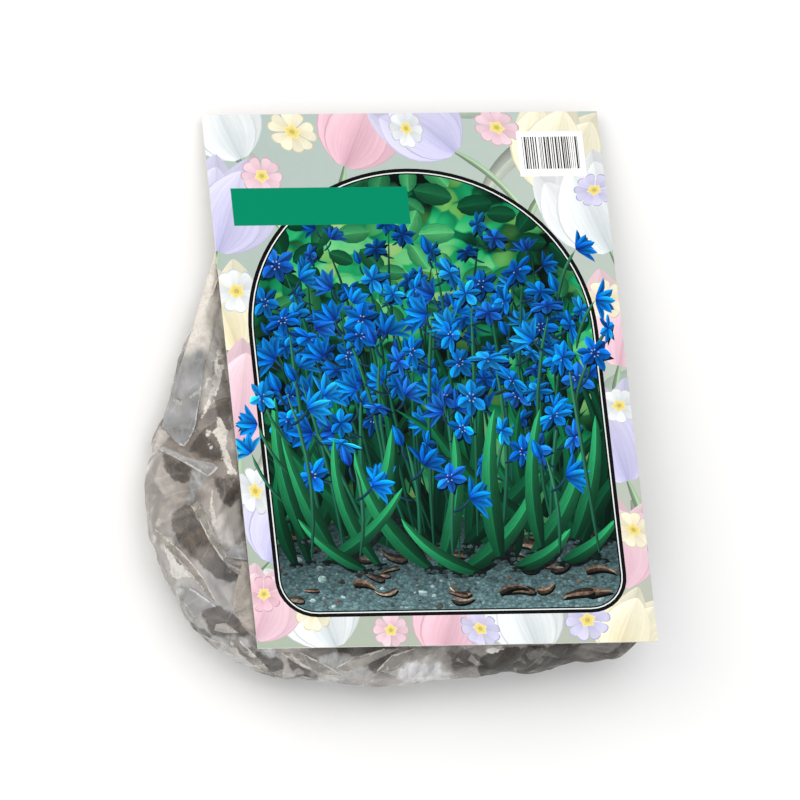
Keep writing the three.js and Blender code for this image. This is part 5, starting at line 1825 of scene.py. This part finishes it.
def mat_board():
    m = Nodes("card_pulp")
    co = m.n("TexCoord").outputs["Object"]
    fibre = m.noise(m.mapping(co, (1, 0.22, 1), (0, 0, 0.4)), 1900.0, 5.0, 0.7).outputs["Fac"]
    fibre2 = m.noise(m.mapping(co, (0.22, 1, 1), (0, 0, -0.3)), 1700.0, 5.0, 0.7).outputs["Fac"]
    mixf = m.math("ADD", m.math("MULTIPLY", fibre, 0.5), m.math("MULTIPLY", fibre2, 0.5))
    c = m.ramp(mixf, [(0.3, srgb(196, 193, 184)), (0.5, srgb(221, 219, 211)), (0.68, srgb(236, 235, 229))])
    speck = m.noise(co, 2400.0, 2.0, 0.5).outputs["Fac"]
    dark = m.ramp(speck, [(0.26, srgb(150, 146, 138)), (0.31, (1, 1, 1))])
    c = m.mix(1.0, c, dark, "MULTIPLY")
    b = m.n("BsdfPrincipled", ins={"Base Color": c, "Normal": m.bump(mixf, 0.25, 0.0004)})
    b.inputs["Roughness"].default_value = 0.82
    b.inputs["Specular IOR Level"].default_value = 0.25
    return m.done(b.outputs[0])


def mat_film(name, tint, milky, bump=1.0):
    m = Nodes(name)
    co = m.n("TexCoord").outputs["Object"]
    warp = m.noise(co, 26.0, 1.0, 0.5).outputs["Color"]
    w1 = m.n("VectorMath", operation="MULTIPLY_ADD")
    m.put(w1.inputs[0], warp)
    w1.inputs[1].default_value = (0.012, 0.012, 0.012)
    m.put(w1.inputs[2], co)
    wc = w1.outputs[0]
    # straight small folds: triangle waves in several directions, each present in places only
    total, sharp = None, None
    for k, (lam, slope, ang, tilt) in enumerate(((0.0150, 0.16, 0.5, 0.3), (0.0112, 0.13, 1.75, -0.4), (0.0076, 0.10, 2.6, 0.2))):
        d = m.n("VectorMath", operation="DOT_PRODUCT")
        m.put(d.inputs[0], wc)
        d.inputs[1].default_value = (math.cos(ang) / lam, math.sin(ang) / lam, tilt / lam)
        tri = m.math("PINGPONG", d.outputs["Value"], 0.5)
        where = m.noise(m.mapping(co, (1, 1, 1), (0, 0, ang), (k * 0.31, 0, 0)), 44.0 + 14 * k, 1.0, 0.5).outputs["Fac"]
        amt = m.n("MapRange", ins={0: where, 1: 0.45, 2: 0.60, 3: 0.0, 4: lam * slope * bump}).outputs[0]
        term = m.math("MULTIPLY", tri, amt)
        total = term if total is None else m.math("ADD", total, term)
        edge = m.math("SUBTRACT", 1.0, m.math("MULTIPLY", tri, 15.0), clamp=True)
        edge = m.math("MULTIPLY", edge, m.n("MapRange", ins={0: where, 1: 0.52, 2: 0.62, 3: 0.0, 4: 1.0}).outputs[0])
        sharp = edge if sharp is None else m.math("MAXIMUM", sharp, edge)
    ripple = m.noise(m.mapping(wc, (1, 0.5, 1), (0.3, 0.2, -0.7)), 95.0, 1.0, 0.5).outputs["Fac"]

    def field(name):
        return m.n("Attribute", attribute_name=name).outputs["Fac"]

    total = m.math("MULTIPLY", total, m.math("MULTIPLY_ADD", field("side"), 1.5, 1.0))       # more creased round the sides
    total = m.math("ADD", total, m.math("MULTIPLY", ripple, 0.0006))
    nor = m.bump(total, 1.0, 1.0)

    def ragged(name, fine, coarse, half):
        """1 inside the area whose signed distance is stored, over a narrow uneven border."""
        d = m.math("ADD", field(name), m.math("MULTIPLY", m.math("SUBTRACT", edge_fine, 0.5), fine))
        d = m.math("ADD", d, m.math("MULTIPLY", m.math("SUBTRACT", edge_wide, 0.5), coarse))
        return m.n("MapRange", ins={0: d, 1: -half, 2: half, 3: 0.0, 4: 1.0}).outputs[0]

    edge_fine = m.noise(m.mapping(wc, (1, 1, 1), (0, 0, 0), (0.7, 0.1, 0)), 820.0, 3.0, 0.6).outputs["Fac"]
    edge_wide = m.noise(m.mapping(wc, (1, 1, 1), (0, 0, 0), (0.2, 0.6, 0)), 230.0, 2.0, 0.5).outputs["Fac"]
    cloud = m.noise(co, 40.0, 3.0, 0.55).outputs["Fac"]
    haze = m.math("MULTIPLY", field("haze"), m.n("MapRange", ins={0: cloud, 1: 0.32, 2: 0.68, 3: 0.86, 4: 1.14}).outputs[0])
    is_clear = ragged("clear", 2.0, 2.0, 1.1)
    # painted sheen: bluish reflections of a softbox
    is_painted_sheen = ragged("blue", 1.6, 4.4, 1.9)
    # painted highlights
    is_highlight = ragged("white", 4.2, 4.6, 0.4)
    pleat = m.noise(m.mapping(wc, (1.0, 0.2, 0.6), (0.2, 0.1, 0.75), (0.4, 0, 0.2)), 330.0, 3.0, 0.6).outputs["Fac"]
    pleats = m.n("MapRange", ins={0: pleat, 1: 0.36, 2: 0.64, 3: 0.0, 4: 1.0}).outputs[0]
    # painted shade: darker clear areas also lose some haze
    less = m.math("MULTIPLY_ADD", m.math("SUBTRACT", 1.0, field("dim")), 0.26, 0.62)
    haze = m.math("MULTIPLY", haze, m.math("SUBTRACT", 1.0, m.math("MULTIPLY", is_clear, less)))
    # the painted sheen sets its own haze
    sheen = m.math("MULTIPLY", field("sheen_haze"), m.n("MapRange", ins={0: pleats, 1: 0.0, 2: 1.0, 3: 0.58, 4: 1.08}).outputs[0])
    haze = m.math("MULTIPLY", haze, m.n("MapRange", ins={0: pleats, 1: 0.0, 2: 1.0, 3: 0.93, 4: 1.07}).outputs[0])
    delta = m.math("MULTIPLY", m.math("SUBTRACT", sheen, haze), is_painted_sheen)
    haze = m.math("ADD", haze, delta)
    fleck = m.noise(co, 520.0, 3.0, 0.65).outputs["Fac"]
    haze = m.math("MULTIPLY", haze, m.n("MapRange", ins={0: fleck, 1: 0.3, 2: 0.7, 3: 0.95, 4: 1.05}).outputs[0])
    haze = m.math("ADD", haze, m.math("MULTIPLY", sharp, m.math("MULTIPLY_ADD", field("side"), 0.30, 0.09)), clamp=True)
    # seen at a slant the light crosses more of the hazy film
    slant = m.n("LayerWeight")
    slant.inputs["Blend"].default_value = 0.5
    far = m.math("POWER", slant.outputs["Facing"], 3.0)
    far = m.math("MULTIPLY", far, m.math("SUBTRACT", 1.0, m.math("MULTIPLY", is_clear, 0.85)))
    haze = m.math("ADD", haze, m.math("MULTIPLY", m.math("MULTIPLY", far, 0.36), m.math("SUBTRACT", 1.0, haze)), clamp=True)
    # painted highlights: the film is made whiter and cream where it catches the light
    grit = m.noise(co, 650.0, 4.0, 0.7).outputs["Fac"]
    highlight_fac = m.math("MULTIPLY", m.math("MULTIPLY", is_highlight, field("highlight_strength")),
                  m.n("MapRange", ins={0: grit, 1: 0.34, 2: 0.52, 3: 0.72, 4: 1.0}).outputs[0])
    haze = m.math("MAXIMUM", haze, m.math("MULTIPLY", highlight_fac, 0.94))
    # painted shade: the shade factor darkens what shows through a clear area
    dim = m.math("SUBTRACT", 1.0, m.math("MULTIPLY", m.math("SUBTRACT", 1.0, field("dim")), is_clear))
    through = m.n("CombineColor", ins={0: m.math("MULTIPLY", dim, tint[0]), 1: m.math("MULTIPLY", dim, tint[1]), 2: m.math("MULTIPLY", dim, tint[2])})
    clear = m.n("BsdfTransparent", ins={0: through.outputs[0]})
    cool = m.math("MAXIMUM", field("cool"), is_painted_sheen)
    tone = m.mix(cool, milky[0], milky[1])
    # painted sheen colour
    tone = m.mix(is_painted_sheen, tone, (0.79, 0.80, 0.80))
    # painted highlight colour, cream or cool white
    tone = m.mix(highlight_fac, tone, m.mix(cool, (0.95, 0.885, 0.80), (0.90, 0.91, 0.89)))
    diff = m.n("BsdfDiffuse", ins={"Normal": nor, "Color": tone})
    tran = m.n("BsdfTranslucent", ins={"Normal": nor, "Color": tone})
    fog = m.n("MixShader", ins={0: 0.22, 1: diff.outputs[0], 2: tran.outputs[0]})
    body = m.n("MixShader", ins={0: haze, 1: clear.outputs[0], 2: fog.outputs[0]})
    rough = m.n("MapRange", ins={0: cloud, 1: 0.35, 2: 0.65, 3: 0.17, 4: 0.36}).outputs[0]
    gloss = m.n("BsdfAnisotropic", ins={"Normal": nor, "Roughness": rough})
    gloss.inputs["Color"].default_value = (0.97, 0.95, 0.91, 1)
    fr = m.n("Fresnel", ins={"Normal": nor})
    fr.inputs["IOR"].default_value = 1.5
    fac = m.math("MULTIPLY", fr.outputs[0], 1.15, clamp=True)
    # painted shade also dims the gloss in the clear areas
    fac = m.math("MULTIPLY", fac, m.math("SUBTRACT", 1.0, m.math("MULTIPLY", m.math("SUBTRACT", 1.0, dim), 0.85)))
    return m.done(m.n("MixShader", ins={0: fac, 1: body.outputs[0], 2: gloss.outputs[0]}).outputs[0])


def mat_tunic(name, flake=False):
    m = Nodes(name)
    co = m.n("Attribute", attribute_name="local").outputs["Vector"]
    rnd = m.n("ObjectInfo").outputs["Random"]
    shift = m.n("CombineXYZ", ins={0: m.math("MULTIPLY", rnd, 0.9), 1: m.math("MULTIPLY", rnd, 0.37), 2: m.math("MULTIPLY", rnd, 0.53)}).outputs[0]
    pos = m.n("VectorMath", operation="ADD", ins={0: co, 1: shift}).outputs[0]
    streak = m.noise(m.mapping(pos, (1, 1, 0.14)), 900.0, 4.0, 0.6).outputs["Fac"]
    wide = m.noise(m.mapping(pos, (1, 1, 0.30)), 190.0, 3.0, 0.6).outputs["Fac"]
    spots = m.noise(pos, 75.0, 2.0, 0.5).outputs["Fac"]
    base = m.ramp(streak, [(0.28, srgb(38, 30, 25)), (0.5, srgb(68, 54, 44)), (0.72, srgb(102, 83, 66))])
    tan = m.ramp(streak, [(0.3, srgb(82, 66, 53)), (0.7, srgb(136, 114, 90))])
    mask = m.ramp(wide, [(0.50, (0, 0, 0)), (0.66, (1, 1, 1))])
    c = m.mix(m.math("MULTIPLY", mask, 0.75 if not flake else 0.95), base, tan)
    plum = m.ramp(spots, [(0.42, (1, 1, 1)), (0.64, (0.82, 0.70, 0.70))])
    c = m.mix(0.8, c, plum, "MULTIPLY")
    tone = m.n("HueSaturation", ins={"Color": c})
    m.put(tone.inputs["Value"], m.n("MapRange", ins={0: rnd, 1: 0.0, 2: 1.0, 3: 0.95 if not flake else 1.2, 4: 1.55 if not flake else 1.7}).outputs[0])
    m.put(tone.inputs["Hue"], m.n("MapRange", ins={0: rnd, 1: 0.0, 2: 1.0, 3: 0.485, 4: 0.512}).outputs[0])
    c = tone.outputs[0]
    hgt = m.math("ADD", m.math("MULTIPLY", streak, 0.6), m.math("MULTIPLY", wide, 0.6))
    nor = m.bump(hgt, 0.55, 0.0007)
    b = m.n("BsdfPrincipled", ins={"Base Color": c, "Normal": nor,
                                   "Roughness": m.ramp(wide, [(0.3, (0.38, 0.38, 0.38)), (0.7, (0.62, 0.62, 0.62))])})
    b.inputs["Specular IOR Level"].default_value = 0.45
    b.inputs["Sheen Weight"].default_value = 0.12
    return m.done(b.outputs[0])


def mat_plate():
    m = Nodes("bulb_plate")
    co = m.n("Attribute", attribute_name="local").outputs["Vector"]
    f = m.noise(co, 1300.0, 4.0, 0.7).outputs["Fac"]
    v = m.voronoi(co, 1500.0, "DISTANCE_TO_EDGE").outputs["Distance"]
    c = m.ramp(f, [(0.3, srgb(86, 66, 50)), (0.55, srgb(142, 116, 88)), (0.75, srgb(188, 164, 130))])
    b = m.n("BsdfPrincipled", ins={"Base Color": c, "Normal": m.bump(m.math("ADD", f, v), 0.6, 0.0005)})
    b.inputs["Roughness"].default_value = 0.8
    return m.done(b.outputs[0])


def mat_strip():
    m = Nodes("adhesive_strip_look")
    co = m.n("TexCoord").outputs["Object"]
    f = m.noise(co, 420.0, 4.0, 0.6).outputs["Fac"]
    g = m.noise(m.mapping(co, (0.2, 1, 1)), 1500.0, 3.0, 0.6).outputs["Fac"]
    c = m.ramp(f, [(0.3, srgb(196, 190, 172)), (0.7, srgb(226, 222, 208))])
    b = m.n("BsdfPrincipled", ins={"Base Color": c, "Normal": m.bump(m.math("ADD", f, g), 0.4, 0.0004),
                                   "Roughness": m.ramp(g, [(0.35, (0.32, 0.32, 0.32)), (0.65, (0.5, 0.5, 0.5))])})
    return m.done(b.outputs[0])


def mat_floor():
    m = Nodes("studio_floor")
    co = m.n("TexCoord").outputs["Object"]
    f = m.noise(co, 3.0, 3.0, 0.5).outputs["Fac"]
    c = m.ramp(f, [(0.3, (0.905, 0.905, 0.905)), (0.7, (0.925, 0.925, 0.925))])
    b = m.n("BsdfPrincipled", ins={"Base Color": c})
    b.inputs["Roughness"].default_value = 0.75
    b.inputs["Specular IOR Level"].default_value = 0.1
    return m.done(b.outputs[0])


# ------------------------------------------------------------------ the pieces
tunic, flake, plate = mat_tunic("bulb_tunic"), mat_tunic("bulb_flake", True), mat_plate()
for _i, _spec in enumerate(BULBS):
    _ob = bulb_mesh(_i, _spec, [tunic, plate, flake])
    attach(_ob, "root")
    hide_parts("bulb_%02d" % (_i + 1))
print("bulbs", round(time.time() - T_START, 1), "s")

bulb_objects = [o for o in coll.objects if o.name.startswith("bulb_") and o.name.endswith("_look")]
bulb_v, bulb_f = [], []
for _ob in bulb_objects:
    _n = len(bulb_v)
    bulb_v += [tuple(v.co) for v in _ob.data.vertices]
    bulb_f += [tuple(_n + i for i in q.vertices) for q in _ob.data.polygons]
BULB_TREE = BVHTree.FromPolygons(bulb_v, bulb_f)
WARM, COOL = (0.785, 0.70, 0.625), (0.66, 0.685, 0.73)
bag = build_bag([mat_film("film_clear", (0.95, 0.94, 0.91), (WARM, COOL))], BULB_TREE)
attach(bag, "root")
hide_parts("film_bag")
folds = build_folds([mat_film("film_doubled", (0.95, 0.94, 0.92), (WARM, COOL), bump=0.7)], bag)
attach(folds, "root")
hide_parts("film_bag")

card = build_card([mat_print(), mat_board()])
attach(card, "root")
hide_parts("card")

strip = bpy.data.objects.get("adhesive_strip")
strip_mat = mat_strip()
for slot_ in strip.material_slots:
    slot_.material = strip_mat

# ------------------------------------------------------------------ stage and light
floor = add_mesh("studio_floor_sheet", [(-4, -4, 0), (4, -4, 0), (4, 4, 0), (-4, 4, 0)], [(0, 1, 2, 3)], [mat_floor()])

wrld = bpy.data.worlds.new("studio")
scene.world = wrld
wrld.use_nodes = True
wrld.node_tree.nodes["Background"].inputs[0].default_value = (1.0, 1.0, 1.0, 1)
wrld.node_tree.nodes["Background"].inputs[1].default_value = 0.78


def area(name, loc, target, power, size, colour, size_y=None):
    d = bpy.data.lights.new(name, "AREA")
    d.energy = power
    d.color = colour
    d.shape = "RECTANGLE"
    d.size = size
    d.size_y = size_y or size
    o = bpy.data.objects.new(name, d)
    o.location = loc
    o.rotation_euler = (Vector(target) - Vector(loc)).to_track_quat("-Z", "Y").to_euler()
    coll.objects.link(o)
    return o


area("key", (-0.95, 0.35, 1.15), (0, 0, 0.02), 7.0, 1.1, (1.0, 0.95, 0.88))
area("front", (-0.35, -1.25, 0.9), (0, -0.05, 0.02), 3.0, 0.7, (0.93, 0.97, 1.0))
area("top", (0.1, 0.2, 1.8), (0, 0, 0.0), 6.2, 1.0, (1.0, 1.0, 1.0))

scene.view_settings.view_transform = "Standard"
scene.view_settings.look = "None"
scene.cycles.transparent_max_bounces = 24

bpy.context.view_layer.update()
print("ready", round(time.time() - T_START, 1), "s")
